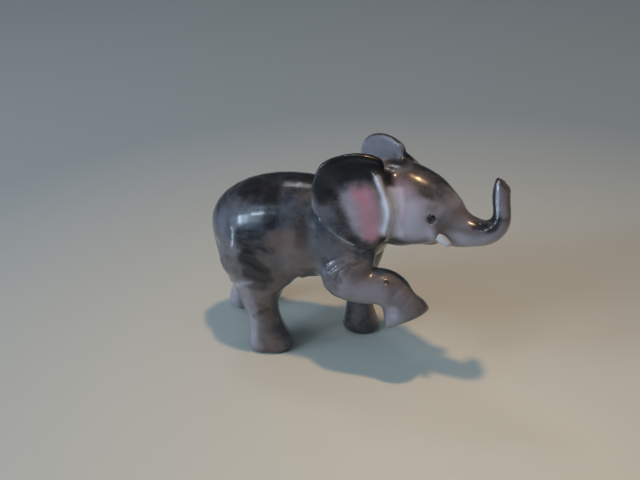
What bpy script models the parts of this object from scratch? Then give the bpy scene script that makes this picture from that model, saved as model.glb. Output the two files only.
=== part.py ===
"""Miniature elephant calf in glazed china, trunk up and right forefoot lifted.

The figure is cast as separate pieces that are stuck together with slip before
firing: torso, head, trunk, two ears, four legs, a tail and two tusks, with two
fired enamel dots for eyes. Lengths are in metres, +X runs from rump to trunk,
+Y to the calf's left, and the three standing soles lie on z = 0.
"""

import math

import bmesh
import bpy
from mathutils import Vector
from mathutils.bvhtree import BVHTree

# Slip joint left open between two pieces, and the gap that welds a tube's caps to its wall
slip_joint = 0.0002
weld_gap = 0.00001

# Torso: a barrel that tapers to the rump and is full at the chest
torso_length = 0.0336
torso_width = 0.0192
torso_depth = 0.0208
belly_height = 0.0162
torso_egg_share = 0.06
vent_radius = 0.0009
vent_depth = 0.0040
vent_along_share = 0.50

# Along, centre, half width and half depth, as shares of length, depth and width
torso_shares = (
    (0.000, 0.270, 0.115, 0.115),
    (0.020, 0.275, 0.210, 0.200),
    (0.065, 0.310, 0.305, 0.310),
    (0.145, 0.375, 0.410, 0.400),
    (0.250, 0.445, 0.475, 0.460),
    (0.390, 0.480, 0.500, 0.505),
    (0.555, 0.505, 0.500, 0.505),
    (0.715, 0.515, 0.500, 0.470),
    (0.850, 0.485, 0.490, 0.420),
    (0.940, 0.435, 0.440, 0.355),
    (0.990, 0.385, 0.325, 0.250),
    (1.000, 0.365, 0.190, 0.145),
)

# Standing legs: where each leaves the torso, and the step and spread of its foot
sole_round = 0.0005
sole_ring_shares = (0.86, 0.45)
dome_share = 0.5
hind_hip_along_share = 0.292
hind_hip_height_share = 0.450
hind_hip_spread_share = 0.285
thigh_half_width = 0.0049
thigh_half_length = 0.0080
right_hind_step = 0.0031
right_hind_spread = 0.0061
left_hind_step = -0.0075
left_hind_spread = 0.0079
fore_hip_along_share = 0.842
fore_hip_height_share = 0.520
fore_hip_spread_share = 0.270
shoulder_half_width = 0.0046
shoulder_half_length = 0.0054
left_fore_step = 0.0007
left_fore_spread = 0.0060

# Rise to the hip, lean from foot to hip, half width and half length, as shares
right_hind_shares = (
    (0.00, -0.08, 0.90, 0.56),
    (0.08, 0.00, 0.84, 0.52),
    (0.20, 0.36, 0.66, 0.41),
    (0.33, 0.64, 0.63, 0.42),
    (0.45, 0.82, 0.70, 0.54),
    (0.55, 0.81, 0.84, 0.72),
    (0.61, 0.74, 0.92, 0.86),
    (0.68, 0.62, 0.99, 1.03),
    (0.80, 0.76, 1.04, 1.09),
    (1.00, 1.00, 0.96, 1.00),
)
left_hind_shares = (
    (0.00, 0.00, 0.88, 0.54),
    (0.08, 0.00, 0.82, 0.51),
    (0.20, 0.08, 0.65, 0.41),
    (0.33, 0.20, 0.63, 0.42),
    (0.45, 0.33, 0.74, 0.49),
    (0.55, 0.47, 0.90, 0.60),
    (0.61, 0.55, 0.95, 0.68),
    (0.67, 0.62, 1.00, 0.79),
    (0.80, 0.80, 1.00, 0.94),
    (1.00, 1.00, 0.90, 1.00),
)
fore_leg_shares = (
    (0.00, 0.00, 0.88, 0.76),
    (0.07, 0.10, 0.80, 0.69),
    (0.18, 0.45, 0.63, 0.54),
    (0.33, 0.62, 0.59, 0.50),
    (0.48, 0.75, 0.63, 0.56),
    (0.63, 0.86, 0.90, 0.85),
    (0.78, 0.95, 1.00, 1.08),
    (1.00, 1.00, 0.91, 1.00),
)

# Lifted right foreleg: reach and drop from shoulder to sole, and its way out from the chest
lifted_root_along_share = 0.875
lifted_root_height_share = 0.495
lifted_root_spread = 0.0050
lifted_reach = 0.0128
lifted_drop = 0.0121
lifted_outward = 0.0030
lifted_radius = 0.0042
lifted_sole_roll_deg = 17.0

# Forward, down and outward from the shoulder, half width and half length, as shares; then dip in degrees
lifted_leg_shares = (
    (0.00, 0.00, 0.00, 0.93, 1.48, 90),
    (-0.02, 0.19, 0.75, 0.98, 1.31, 88),
    (-0.02, 0.38, 0.95, 0.96, 1.33, 71),
    (0.06, 0.54, 1.00, 0.94, 1.36, 51),
    (0.33, 0.57, 1.00, 0.90, 0.96, 17),
    (0.47, 0.54, 1.00, 0.87, 0.87, 4),
    (0.64, 0.54, 1.00, 0.87, 0.88, 20),
    (0.78, 0.68, 1.00, 0.88, 0.88, 45),
    (0.89, 0.84, 1.00, 0.94, 0.93, 56),
    (1.00, 1.00, 1.00, 1.00, 1.00, 58),
)

# Head and lower jaw, in the head's frame at the nape
nape_along_share = 0.917
nape_height_share = 0.808
head_turn_deg = -12.0
head_length = 0.0245
head_width = 0.0136
head_depth = 0.0160
neck_reach = 0.0055
neck_sink_share = 0.40
neck_size_share = 0.80
head_egg_share = 0.10
jaw_length = 0.0090
jaw_half_width = 0.0026
jaw_half_depth = 0.0017
jaw_tip_along_share = 0.660
jaw_drop_share = 0.235
jaw_shares = ((0.0, 0.0, 1.0), (0.35, 0.05, 1.0), (0.70, 0.04, 0.85), (0.92, 0.0, 0.55))

# Along from the nape, centre, half width and half depth, as shares of length, depth and width
head_shares = (
    (-0.225, -0.220, 0.420, 0.380),
    (-0.100, -0.080, 0.470, 0.470),
    (0.050, 0.055, 0.480, 0.530),
    (0.190, 0.120, 0.490, 0.535),
    (0.330, 0.150, 0.500, 0.520),
    (0.460, 0.150, 0.480, 0.475),
    (0.570, 0.120, 0.430, 0.415),
    (0.670, 0.080, 0.360, 0.350),
    (0.750, 0.010, 0.275, 0.250),
    (0.800, -0.020, 0.175, 0.140),
)

# Trunk, in the head's middle plane
trunk_root_along_share = 0.718
trunk_root_height_share = 0.0375
trunk_reach = 0.0100
trunk_rise = 0.0120
trunk_base_radius = 0.0039
trunk_tip_radius = 0.0014
trunk_sway = 0.0032
trunk_lip_slant_deg = 52.0
trunk_lip_rise_share = 0.725
nostril_radius = 0.0004
nostril_spread = 0.00058
nostril_depth = 0.0010

# Forward, up and to the left from the trunk's root, and radius between tip (0) and base (1)
trunk_shares = (
    (-0.120, 0.025, 0.00, 1.000),
    (0.060, -0.020, 0.00, 0.860),
    (0.260, -0.055, 0.00, 0.680),
    (0.440, -0.075, 0.00, 0.540),
    (0.640, -0.060, 0.00, 0.450),
    (0.830, 0.035, 0.03, 0.340),
    (0.925, 0.170, 0.20, 0.200),
    (0.905, 0.305, 0.42, 0.090),
    (0.840, 0.450, 0.64, 0.100),
    (0.805, 0.570, 0.82, 0.100),
    (0.805, 0.680, 0.98, 0.080),
    (0.820, 0.800, 1.14, 0.000),
)

# Ears, mirrored on the head: a fold in front, a dished fan behind it
ear_root_along = 0.0087
ear_drop = 0.0054
ear_length = 0.0155
ear_height = 0.0187
ear_spread = 0.0093
ear_fold = 0.0009
ear_dish = 0.0009
ear_thickness = 0.0013
ear_seat = 0.0022
ear_crown_root = 0.0018
ear_wrap_share = 0.97
left_ear_forward = 0.0010

# Ribs from lobe to crown: fold's back and rise, then rim's back, rise and spread
ear_rib_shares = (
    (0.11, 0.12, 0.19, 0.03, 0.76),
    (0.07, 0.18, 0.28, 0.00, 0.81),
    (0.04, 0.25, 0.39, 0.00, 0.85),
    (0.02, 0.32, 0.56, 0.07, 0.92),
    (0.00, 0.39, 0.74, 0.19, 0.97),
    (0.00, 0.46, 0.90, 0.32, 1.00),
    (0.01, 0.52, 0.99, 0.49, 0.98),
    (0.04, 0.57, 0.99, 0.66, 0.91),
    (0.08, 0.62, 0.91, 0.81, 0.81),
    (0.12, 0.67, 0.76, 0.92, 0.69),
    (0.16, 0.71, 0.58, 0.97, 0.58),
    (0.19, 0.75, 0.40, 0.97, 0.50),
    (0.21, 0.79, 0.23, 0.91, 0.43),
)
# Places along a rib, from the fold to the rim
ear_place_shares = (0.0, 0.10, 0.32, 0.56, 0.80, 0.94, 1.0)

# Tusks, eyes and tail
tusk_length = 0.0034
tusk_radius = 0.0009
tusk_along_share = 0.668
tusk_drop_share = 0.010
tusk_spread = 0.0043
tusk_dip_deg = 28.0
tusk_splay_deg = 2.0
tusk_shares = ((0.0, 0.90), (0.4, 1.00), (0.75, 0.85), (1.0, 0.50))
eye_radius = 0.00062
eye_proud_share = 0.40
eye_along_share = 0.640
eye_height_share = 0.170
tail_length = 0.0165
tail_radius = 0.0008
tail_tuft_radius = 0.0010
tail_lift_share = 0.60
tail_lean = -0.0054
tail_tuft_share = 0.80
tail_tuck = 0.0013
tail_proud_share = 0.20

# Down the tail, and thickness, as shares
tail_shares = (
    (0.00, 1.00),
    (0.16, 1.00),
    (0.34, 0.90),
    (0.52, 0.82),
    (0.70, 0.80),
    (0.84, 1.00),
    (0.96, 0.60),
)

# Longest overrun of a cutter past what it cuts
cutter_overrun = 0.0010


def clear_scene():
    for obj in list(bpy.data.objects):
        bpy.data.objects.remove(obj, do_unlink=True)


def new_collection(name, hidden=False):
    collection = bpy.data.collections.new(name)
    collection.hide_render = hidden
    bpy.context.scene.collection.children.link(collection)
    return collection


def glaze(name, colour, roughness=0.12):
    """Principled material for one piece's glaze."""
    material = bpy.data.materials.new(name)
    material.use_nodes = True
    shader = material.node_tree.nodes["Principled BSDF"]
    shader.inputs["Base Color"].default_value = (*colour, 1.0)
    shader.inputs["Roughness"].default_value = roughness
    shader.inputs["Metallic"].default_value = 0.0
    shader.inputs["Coat Weight"].default_value = 0.6
    material.diffuse_color = (*colour, 1.0)
    return material


clear_scene()
figure = new_collection("elephant_calf_figure")
cutters = new_collection("cutters", hidden=True)
figure_root = bpy.data.objects.new("figure_root", None)
figure.objects.link(figure_root)
head_pose = bpy.data.objects.new("head_pose", None)
figure.objects.link(head_pose)
head_pose.parent = figure_root
head_pose.location = (
    torso_length * nape_along_share,
    0,
    belly_height + torso_depth * nape_height_share,
)
head_pose.rotation_euler = (0, 0, math.radians(head_turn_deg))

grey_dark = (0.060, 0.062, 0.070)
grey_mid = (0.165, 0.155, 0.165)
grey_pale = (0.300, 0.275, 0.300)
ear_pink = (0.330, 0.190, 0.205)
china_white = (0.780, 0.760, 0.720)
enamel_black = (0.010, 0.009, 0.008)


def place(obj, parent, material, subdivisions=1):
    """Put a modelled piece in the figure, under its parent, with its glaze."""
    figure.objects.link(obj)
    obj.parent = parent
    obj.data.materials.append(material)
    if subdivisions:
        smooth = obj.modifiers.new("form", "SUBSURF")
        smooth.levels = subdivisions
        smooth.render_levels = subdivisions
    obj.data.shade_smooth()
    return obj


def clearance_of(piece):
    """A copy of a piece, grown by the slip joint, that cuts what sits on it."""
    grown = bpy.data.objects.new(piece.name + "_clearance", piece.data)
    cutters.objects.link(grown)
    grown.parent = piece.parent
    grown.hide_render = True
    grown.display_type = "WIRE"
    for modifier in piece.modifiers:
        if modifier.type == "SUBSURF":
            smooth = grown.modifiers.new(modifier.name, "SUBSURF")
            smooth.levels = modifier.levels
            smooth.render_levels = modifier.render_levels
        if modifier.type == "BOOLEAN" and modifier.operation == "UNION":
            join(grown, modifier.object)
    swell = grown.modifiers.new("slip_joint", "DISPLACE")
    swell.direction = "NORMAL"
    swell.mid_level = 0
    swell.strength = slip_joint
    return grown


def as_cutter(obj, parent):
    cutters.objects.link(obj)
    obj.parent = parent
    obj.hide_render = True
    obj.display_type = "WIRE"
    return obj


def boolean(piece, other, operation):
    modifier = piece.modifiers.new(operation.lower() + "_" + other.name, "BOOLEAN")
    modifier.operation = operation
    modifier.object = other
    modifier.solver = "EXACT"
    return modifier


def cut(piece, *others, folded=False):
    """Cut clearances out of a piece. A folded sheet may touch itself where it is tight."""
    for other in others:
        boolean(piece, other, "DIFFERENCE").use_self = folded


def join(piece, other):
    boolean(piece, other, "UNION")


def mesh_object(name, form):
    bmesh.ops.recalc_face_normals(form, faces=form.faces)
    data = bpy.data.meshes.new(name)
    form.to_mesh(data)
    form.free()
    return bpy.data.objects.new(name, data)


def drawn_in(facets):
    """What one subdivision leaves of a ring's radius."""
    return (3 + math.cos(2 * math.pi / facets)) / 4


def section(form, centre, across, upward, half_width, half_depth, facets, egg):
    """One oval ring, narrower above its middle by the egg share."""
    ring = []
    for step in range(facets):
        angle = 2 * math.pi * step / facets
        slim = (1 - egg * math.sin(angle)) / drawn_in(facets)
        point = centre + across * (half_width * slim * math.cos(angle))
        point += upward * (half_depth * math.sin(angle) / drawn_in(facets))
        ring.append(form.verts.new(point))
    return ring


def bridge(form, first, second):
    count = len(first)
    for step in range(count):
        after = (step + 1) % count
        form.faces.new((first[step], first[after], second[after], second[step]))


def fan(form, ring, centre):
    tip = form.verts.new(centre)
    for step in range(len(ring)):
        form.faces.new((ring[step], ring[(step + 1) % len(ring)], tip))


def loft(name, stations, facets=12, egg=0.0, ways=None, first_way=None,
         first_flat=False, last_flat=False):
    """Loft unlike oval sections along a spine that stays near an upright plane.

    A station is a centre, a half width across the spine and a half depth. A flat
    end is a sole with a rounded edge, and any other end is domed.
    """
    form = bmesh.new()
    rings = []
    across = Vector((0, 1, 0))
    centres = [Vector(centre) for centre, _, _ in stations]
    last = len(stations) - 1
    if ways is None:
        ways = [centres[min(index + 1, last)] - centres[max(index - 1, 0)]
                for index in range(last + 1)]
    ways = [way.normalized() for way in ways]
    if first_way is not None:
        ways[0] = Vector(first_way).normalized()
    frames = []
    for way in ways:
        side = (across - way * across.dot(way)).normalized()
        frames.append((side, way.cross(side).normalized()))
    for (_, half_width, half_depth), centre, (side, upward) in zip(stations, centres, frames):
        rings.append(section(form, centre, side, upward, half_width, half_depth, facets, egg))
    for index in range(last):
        bridge(form, rings[index], rings[index + 1])
    for index, sign, flat in ((0, -1, first_flat), (last, 1, last_flat)):
        centre, (side, upward) = centres[index], frames[index]
        _, half_width, half_depth = stations[index]
        outward = ways[index] * sign
        if not flat:
            fan(form, rings[index], centre + outward * min(half_width, half_depth) * dome_share)
            continue
        outer = rings[index]
        for share in sole_ring_shares:
            ring = section(form, centre + outward * sole_round, side, upward,
                           half_width * share, half_depth * share, facets, egg)
            bridge(form, outer, ring)
            outer = ring
        fan(form, outer, centre + outward * sole_round)
    return mesh_object(name, form)


def tube(name, points, radii, sides_step):
    """A tapered round tube along a line, as a closed mesh with 2 x sides_step + 4 sides."""
    line = bpy.data.curves.new(name + "_line", "CURVE")
    line.dimensions = "3D"
    line.bevel_depth = max(radii)
    line.bevel_resolution = sides_step
    line.use_fill_caps = True
    spline = line.splines.new("POLY")
    spline.points.add(len(points) - 1)
    for place_on, point, radius in zip(spline.points, points, radii):
        place_on.co = (*point, 1)
        place_on.radius = radius / line.bevel_depth / drawn_in(2 * sides_step + 4)
    guide = bpy.data.objects.new(name + "_line", line)
    bpy.context.scene.collection.objects.link(guide)
    bpy.context.view_layer.update()
    graph = bpy.context.evaluated_depsgraph_get()
    data = bpy.data.meshes.new_from_object(guide.evaluated_get(graph))
    bpy.data.objects.remove(guide, do_unlink=True)
    form = bmesh.new()
    form.from_mesh(data)
    bpy.data.meshes.remove(data)
    bmesh.ops.remove_doubles(form, verts=form.verts, dist=weld_gap)
    return mesh_object(name, form)


def world_surface(obj):
    """Search tree of a piece's finished surface, in its parent's frame."""
    bpy.context.view_layer.update()
    graph = bpy.context.evaluated_depsgraph_get()
    return BVHTree.FromObject(obj, graph)


# Torso, the piece that all the others are stuck to
def torso_centre(along_share, height_share):
    return Vector((torso_length * along_share, 0, belly_height + torso_depth * height_share))


torso_stations = [
    (torso_centre(along, centre), torso_width * half_width, torso_depth * half_depth)
    for along, centre, half_width, half_depth in torso_shares
]
torso = loft("torso", torso_stations, facets=16, egg=torso_egg_share)
place(torso, figure_root, glaze("torso_glaze", grey_dark))
torso_clearance = clearance_of(torso)

vent_form = bmesh.new()
bmesh.ops.create_cone(vent_form, cap_ends=True, segments=16, radius1=vent_radius,
                      radius2=vent_radius, depth=vent_depth + cutter_overrun)
vent_cutter = as_cutter(mesh_object("vent_cutter", vent_form), figure_root)
vent_cutter.location = (
    torso_length * vent_along_share,
    0,
    belly_height + (vent_depth - cutter_overrun) / 2,
)
cut(torso, vent_cutter)


# Standing legs
def standing_leg(name, side, hip, root_half_width, root_half_length, step, spread, rows, material):
    """A leg from its sole to a root inside the torso, trimmed to the torso's side."""
    along_share, height_share, spread_share = hip
    root = torso_centre(along_share, height_share)
    root.y = side * torso_width * spread_share
    foot = Vector((root.x + step, side * spread, 0))
    stations = []
    for rise, lean, width_share, length_share in rows:
        centre = foot.lerp(root, lean)
        centre.z = max(root.z * rise, sole_round)
        stations.append((centre, root_half_width * width_share, root_half_length * length_share))
    leg = loft(name, stations, facets=12, first_way=(0, 0, 1), first_flat=True)
    place(leg, figure_root, material)
    cut(leg, torso_clearance)
    return leg


hind_hip = (hind_hip_along_share, hind_hip_height_share, hind_hip_spread_share)
fore_hip = (fore_hip_along_share, fore_hip_height_share, fore_hip_spread_share)
hind_form = (hind_hip, thigh_half_width, thigh_half_length)
fore_form = (fore_hip, shoulder_half_width, shoulder_half_length)
leg_glaze = glaze("leg_glaze", grey_mid)
right_hind_leg = standing_leg("right_hind_leg", -1, *hind_form, right_hind_step,
                              right_hind_spread, right_hind_shares, leg_glaze)
left_hind_leg = standing_leg("left_hind_leg", 1, *hind_form, left_hind_step,
                             left_hind_spread, left_hind_shares, leg_glaze)
left_foreleg = standing_leg("left_foreleg", 1, *fore_form, left_fore_step,
                            left_fore_spread, fore_leg_shares, leg_glaze)


# Lifted right foreleg: down from the shoulder, forward at the elbow, down at the wrist
def lifted_leg():
    root = torso_centre(lifted_root_along_share, lifted_root_height_share)
    root.y = -lifted_root_spread
    stations, ways = [], []
    for forward, down, outward, width_share, length_share, dip_deg in lifted_leg_shares:
        centre = root + Vector((lifted_reach * forward, -lifted_outward * outward, -lifted_drop * down))
        stations.append((centre, lifted_radius * width_share, lifted_radius * length_share))
        dip = math.radians(dip_deg)
        ways.append(Vector((math.cos(dip), 0, -math.sin(dip))))
    ways[-1].y = -math.sin(math.radians(lifted_sole_roll_deg))
    leg = loft("right_foreleg", stations, facets=12, ways=ways, last_flat=True)
    place(leg, figure_root, glaze("lifted_leg_glaze", grey_pale))
    cut(leg, torso_clearance)
    return leg


right_foreleg = lifted_leg()


# Head with its neck and lower jaw
def head_centre(along_share, height_share):
    return Vector((head_length * along_share, 0, head_depth * height_share))


head_stations = [
    (head_centre(along, centre), head_width * half_width, head_depth * half_depth)
    for along, centre, half_width, half_depth in head_shares
]
head_stations.insert(0, (
    head_centre(*head_shares[0][:2]) - Vector((neck_reach, 0, neck_reach * neck_sink_share)),
    head_width * head_shares[0][2] * neck_size_share,
    head_depth * head_shares[0][3] * neck_size_share,
))
head = loft("head", head_stations, facets=16, egg=head_egg_share)
place(head, head_pose, glaze("head_glaze", grey_mid))

jaw_root = head_centre(jaw_tip_along_share, -jaw_drop_share) - Vector((jaw_length, 0, 0))
jaw_stations = [
    (jaw_root + Vector((jaw_length * along, 0, jaw_half_depth * rise)),
     jaw_half_width * size, jaw_half_depth * size)
    for along, rise, size in jaw_shares
]
jaw = as_cutter(loft("jaw_form", jaw_stations, facets=12), head_pose)
jaw_smooth = jaw.modifiers.new("form", "SUBSURF")
jaw_smooth.levels = 1
jaw_smooth.render_levels = 1
join(head, jaw)
head_clearance = clearance_of(head)
cut(head, torso_clearance)


# Trunk, luted over the muzzle, with two nostrils in its lip
trunk_root = head_centre(trunk_root_along_share, trunk_root_height_share)
trunk_points = [
    trunk_root + Vector((trunk_reach * forward, trunk_sway * leftward, trunk_rise * up))
    for forward, up, leftward, _ in trunk_shares
]
trunk_radii = [
    trunk_tip_radius + (trunk_base_radius - trunk_tip_radius) * size
    for _, _, _, size in trunk_shares
]
trunk = place(tube("trunk", trunk_points, trunk_radii, 4), head_pose, glaze("trunk_glaze", grey_pale))


# The lip slants down and forward from a finger at the back, and the nostrils open square to it
lip_tilt = math.radians(trunk_lip_slant_deg)
lip_way = Vector((math.sin(lip_tilt), 0, math.cos(lip_tilt)))
lip_shares = trunk_shares[-2]
lip_middle = trunk_root + Vector((
    trunk_reach * lip_shares[0],
    trunk_sway * lip_shares[2],
    trunk_rise * trunk_lip_rise_share,
))


def lip_cutter():
    form = bmesh.new()
    bmesh.ops.create_cube(form, size=2 * trunk_base_radius)
    block = as_cutter(mesh_object("lip_cutter", form), head_pose)
    block.rotation_euler = lip_way.to_track_quat("Z", "Y").to_euler()
    block.location = lip_middle + lip_way * trunk_base_radius
    return block


def nostril(name, side):
    form = bmesh.new()
    bmesh.ops.create_cone(form, cap_ends=True, segments=10, radius1=nostril_radius,
                          radius2=nostril_radius, depth=2 * nostril_depth)
    bore = as_cutter(mesh_object(name, form), head_pose)
    bore.rotation_euler = lip_way.to_track_quat("Z", "Y").to_euler()
    bore.location = lip_middle + Vector((0, side * nostril_spread, 0))
    return bore


cut(trunk, lip_cutter(), nostril("right_nostril", -1), nostril("left_nostril", 1))
trunk_clearance = clearance_of(trunk)
cut(trunk, head_clearance)


# Ears: a dished sheet whose front edge folds into the side of the head
def head_side_at(height):
    """Half width of the head behind the cheek, at a height above the nape."""
    _, centre_share, width_share, depth_share = head_shares[4]
    above = (height - head_depth * centre_share) / (head_depth * depth_share)
    above = max(-ear_wrap_share, min(ear_wrap_share, above))
    full = head_width * width_share * (1 - head_egg_share * above)
    return full * math.sqrt(1 - above * above)


def ear_sheet(name, side, root_along):
    """The ear's middle surface, from a seat inside the head over the fold to the rim."""
    form = bmesh.new()
    ribs = []
    for index, (fold_back, fold_rise, rim_back, rim_rise, rim_spread) in enumerate(ear_rib_shares):
        crown_share = (index / (len(ear_rib_shares) - 1)) ** 3
        fold_x = root_along - ear_length * fold_back
        fold_z = ear_height * fold_rise - ear_drop
        fold_y = head_side_at(fold_z) + ear_fold
        rim_x = root_along - ear_length * rim_back
        rim_z = ear_height * rim_rise - ear_drop
        rim_y = ear_spread * rim_spread
        seat_x = fold_x + ear_crown_root * crown_share
        rib = [form.verts.new((seat_x, side * (fold_y - ear_seat), fold_z))]
        for share in ear_place_shares:
            hollow = ear_dish * math.sin(math.pi * share)
            rib.append(form.verts.new((
                fold_x + (rim_x - fold_x) * share,
                side * (fold_y + (rim_y - fold_y) * share - hollow),
                fold_z + (rim_z - fold_z) * share,
            )))
        ribs.append(rib)
    for rib, after in zip(ribs, ribs[1:]):
        for step in range(len(rib) - 1):
            form.faces.new((rib[step], rib[step + 1], after[step + 1], after[step]))
    return mesh_object(name, form)


def ear(name, side, root_along):
    """One ear, with the sheet's thickness and a rounded rim."""
    sheet = ear_sheet(name, side, root_along)
    body = sheet.modifiers.new("body", "SOLIDIFY")
    body.thickness = ear_thickness
    body.offset = 0
    place(sheet, head_pose, glaze(name + "_glaze", ear_pink))
    cut(sheet, head_clearance, torso_clearance, folded=True)
    return sheet


right_ear = ear("right_ear", -1, ear_root_along)
left_ear = ear("left_ear", 1, ear_root_along + left_ear_forward)


# Tusks: short pegs beside the root of the trunk
def tusk(name, side):
    dip = math.radians(tusk_dip_deg)
    splay = math.radians(tusk_splay_deg)
    way = Vector((math.cos(dip) * math.cos(splay), side * math.sin(splay), -math.sin(dip)))
    root = head_centre(tusk_along_share, -tusk_drop_share)
    root.y = side * tusk_spread
    points = [root + way * tusk_length * along for along, _ in tusk_shares]
    peg = tube(name, points, [tusk_radius * size for _, size in tusk_shares], 2)
    place(peg, head_pose, glaze(name + "_glaze", china_white))
    cut(peg, head_clearance, trunk_clearance)
    return peg


right_tusk = tusk("right_tusk", -1)
left_tusk = tusk("left_tusk", 1)


# Eyes: enamel dots, each in a dimple of the cheek
def eye(name, side, surface):
    reach = Vector((head_length * eye_along_share, side * head_width, head_depth * eye_height_share))
    spot, normal, _, _ = surface.ray_cast(reach, Vector((0, -side, 0)))
    dots = []
    for suffix, radius in (("", eye_radius), ("_socket", eye_radius + slip_joint / 2)):
        form = bmesh.new()
        bmesh.ops.create_uvsphere(form, u_segments=12, v_segments=8, radius=radius)
        dots.append(mesh_object(name + suffix, form))
        dots[-1].location = spot - normal * eye_radius * (1 - eye_proud_share)
    dot, socket = dots
    place(dot, head_pose, glaze(name + "_enamel", enamel_black, 0.05), subdivisions=0)
    as_cutter(socket, head_pose)
    cut(head, socket)
    return dot


head_surface = world_surface(head)
right_eye = eye("right_eye", -1, head_surface)
left_eye = eye("left_eye", 1, head_surface)


# Tail, laid down the rump and the back of the thigh, ending in a tuft
def tail_line(surfaces):
    """Points just proud of the skin behind the calf, turning in no faster than the tuck."""
    top = belly_height + torso_depth * tail_lift_share
    points, radii = [], []
    for along, size in tail_shares:
        height = top - tail_length * along
        sideways = tail_lean * along * along
        origin = Vector((-torso_length, sideways, height))
        spots = [surface.ray_cast(origin, Vector((1, 0, 0)))[0] for surface in surfaces]
        reached = [spot.x - tail_radius * tail_proud_share for spot in spots if spot]
        if points:
            reached.append(points[-1].x + tail_tuck)
        points.append(Vector((min(reached), sideways, height)))
        radii.append(size * (tail_radius if along < tail_tuft_share else tail_tuft_radius))
    root = points[0] + Vector((tail_radius, 0, tail_radius)) * 2
    return [root] + points, [tail_radius] + radii


tail = tube("tail", *tail_line([world_surface(torso), world_surface(right_hind_leg)]), 3)
place(tail, figure_root, glaze("tail_glaze", grey_mid))
cut(tail, torso_clearance, clearance_of(right_hind_leg))


def centre_on_floor():
    """Move the figure so that the origin is under the middle of its bounding box."""
    bpy.context.view_layer.update()
    graph = bpy.context.evaluated_depsgraph_get()
    corners = []
    for obj in figure.objects:
        if obj.type != "MESH":
            continue
        solid = obj.evaluated_get(graph)
        data = solid.to_mesh()
        corners += [solid.matrix_world @ vertex.co for vertex in data.vertices]
        solid.to_mesh_clear()
    low = [min(corner[axis] for corner in corners) for axis in range(3)]
    high = [max(corner[axis] for corner in corners) for axis in range(3)]
    figure_root.location = (-(low[0] + high[0]) / 2, -(low[1] + high[1]) / 2, -low[2])
    print("overall size in mm:", [round(1000 * (b - a), 2) for a, b in zip(low, high)])
    print("figure moved by, in mm:", [round(1000 * way, 3) for way in figure_root.location])
    bpy.context.view_layer.update()


centre_on_floor()
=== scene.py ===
import math

import bmesh
import bpy
import numpy as np
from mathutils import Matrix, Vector
from mathutils.bvhtree import BVHTree


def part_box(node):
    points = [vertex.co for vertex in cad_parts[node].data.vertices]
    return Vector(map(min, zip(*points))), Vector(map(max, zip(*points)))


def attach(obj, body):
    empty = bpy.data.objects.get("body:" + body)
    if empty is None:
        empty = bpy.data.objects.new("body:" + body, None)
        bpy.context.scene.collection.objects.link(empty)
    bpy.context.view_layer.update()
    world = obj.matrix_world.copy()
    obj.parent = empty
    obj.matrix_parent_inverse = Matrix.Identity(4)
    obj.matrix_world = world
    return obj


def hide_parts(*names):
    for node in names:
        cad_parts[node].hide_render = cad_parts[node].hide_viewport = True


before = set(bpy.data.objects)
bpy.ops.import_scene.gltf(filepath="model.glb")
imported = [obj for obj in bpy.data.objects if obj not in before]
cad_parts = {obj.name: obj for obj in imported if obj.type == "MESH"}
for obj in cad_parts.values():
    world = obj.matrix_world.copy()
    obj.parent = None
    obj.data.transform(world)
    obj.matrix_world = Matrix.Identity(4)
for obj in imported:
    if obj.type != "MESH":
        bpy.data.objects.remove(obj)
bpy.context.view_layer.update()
mm = 0.001
headTurn = math.radians(-12.0)
nape = np.array((2.30, -0.04, 33.0))  # where the neck leaves the shoulders, in mm


def newObject(name, data):
    made = bpy.data.objects.new(name, data)
    bpy.context.scene.collection.objects.link(made)
    return made


def meshFrom(form, name):
    data = bpy.data.meshes.new(name)
    form.to_mesh(data)
    form.free()
    return data


# Camera
cameraSizes = {
    "place": (41.22, -157.55, 118.36),  # mm
    "azimuth": 17.0,
    "elevation": 30.0,
    "lens": 53.44,
    "sensor": 36.0,
    "clip": (0.005, 20.0),  # m
}


def setCamera():
    azimuth, elevation = math.radians(cameraSizes["azimuth"]), math.radians(cameraSizes["elevation"])
    ahead = Vector((-math.sin(azimuth) * math.cos(elevation),
                    math.cos(azimuth) * math.cos(elevation), -math.sin(elevation)))
    data = bpy.data.cameras.new("photoCamera")
    data.sensor_width = cameraSizes["sensor"]
    data.lens = cameraSizes["lens"]
    data.clip_start, data.clip_end = cameraSizes["clip"]
    camera = newObject("photoCamera", data)
    camera.location = Vector(cameraSizes["place"]) * mm
    camera.rotation_euler = ahead.to_track_quat("-Z", "Y").to_euler()
    bpy.context.scene.camera = camera
    bpy.context.scene.view_settings.view_transform = "Standard"


# Node helpers: a value that is itself a socket gets linked
def setInput(tree, socket, value):
    if hasattr(value, "is_output"):
        tree.links.new(value, socket)
    else:
        socket.default_value = value


def addNode(tree, kind, values=None, group=None):
    node = tree.nodes.new(kind)
    if group:
        node.node_tree = group
    for name, value in (values or {}).items():
        setInput(tree, node.inputs[name], value)
    return node


def newTree(material):
    material.use_nodes = True
    tree = material.node_tree
    tree.nodes.clear()
    shader = addNode(tree, "ShaderNodeBsdfPrincipled")
    addNode(tree, "ShaderNodeOutputMaterial", {"Surface": shader.outputs["BSDF"]})
    return tree, shader


def mixColour(tree, amount, first, second):
    mix = tree.nodes.new("ShaderNodeMix")
    mix.data_type = "RGBA"
    setInput(tree, mix.inputs["Factor"], amount)
    for socket, value in ((mix.inputs[6], first), (mix.inputs[7], second)):
        setInput(tree, socket, value if hasattr(value, "is_output") else (*value, 1.0))
    return mix.outputs[2]


def newGroup(name, inputs, outputs):
    group = bpy.data.node_groups.new(name, "ShaderNodeTree")
    for label, value in inputs.items():
        socket = group.interface.new_socket(label, in_out="INPUT", socket_type="NodeSocketFloat")
        socket.default_value = value
    for label in outputs:
        group.interface.new_socket(label, in_out="OUTPUT", socket_type="NodeSocketFloat")
    return group, group.nodes.new("NodeGroupInput"), group.nodes.new("NodeGroupOutput")


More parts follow.
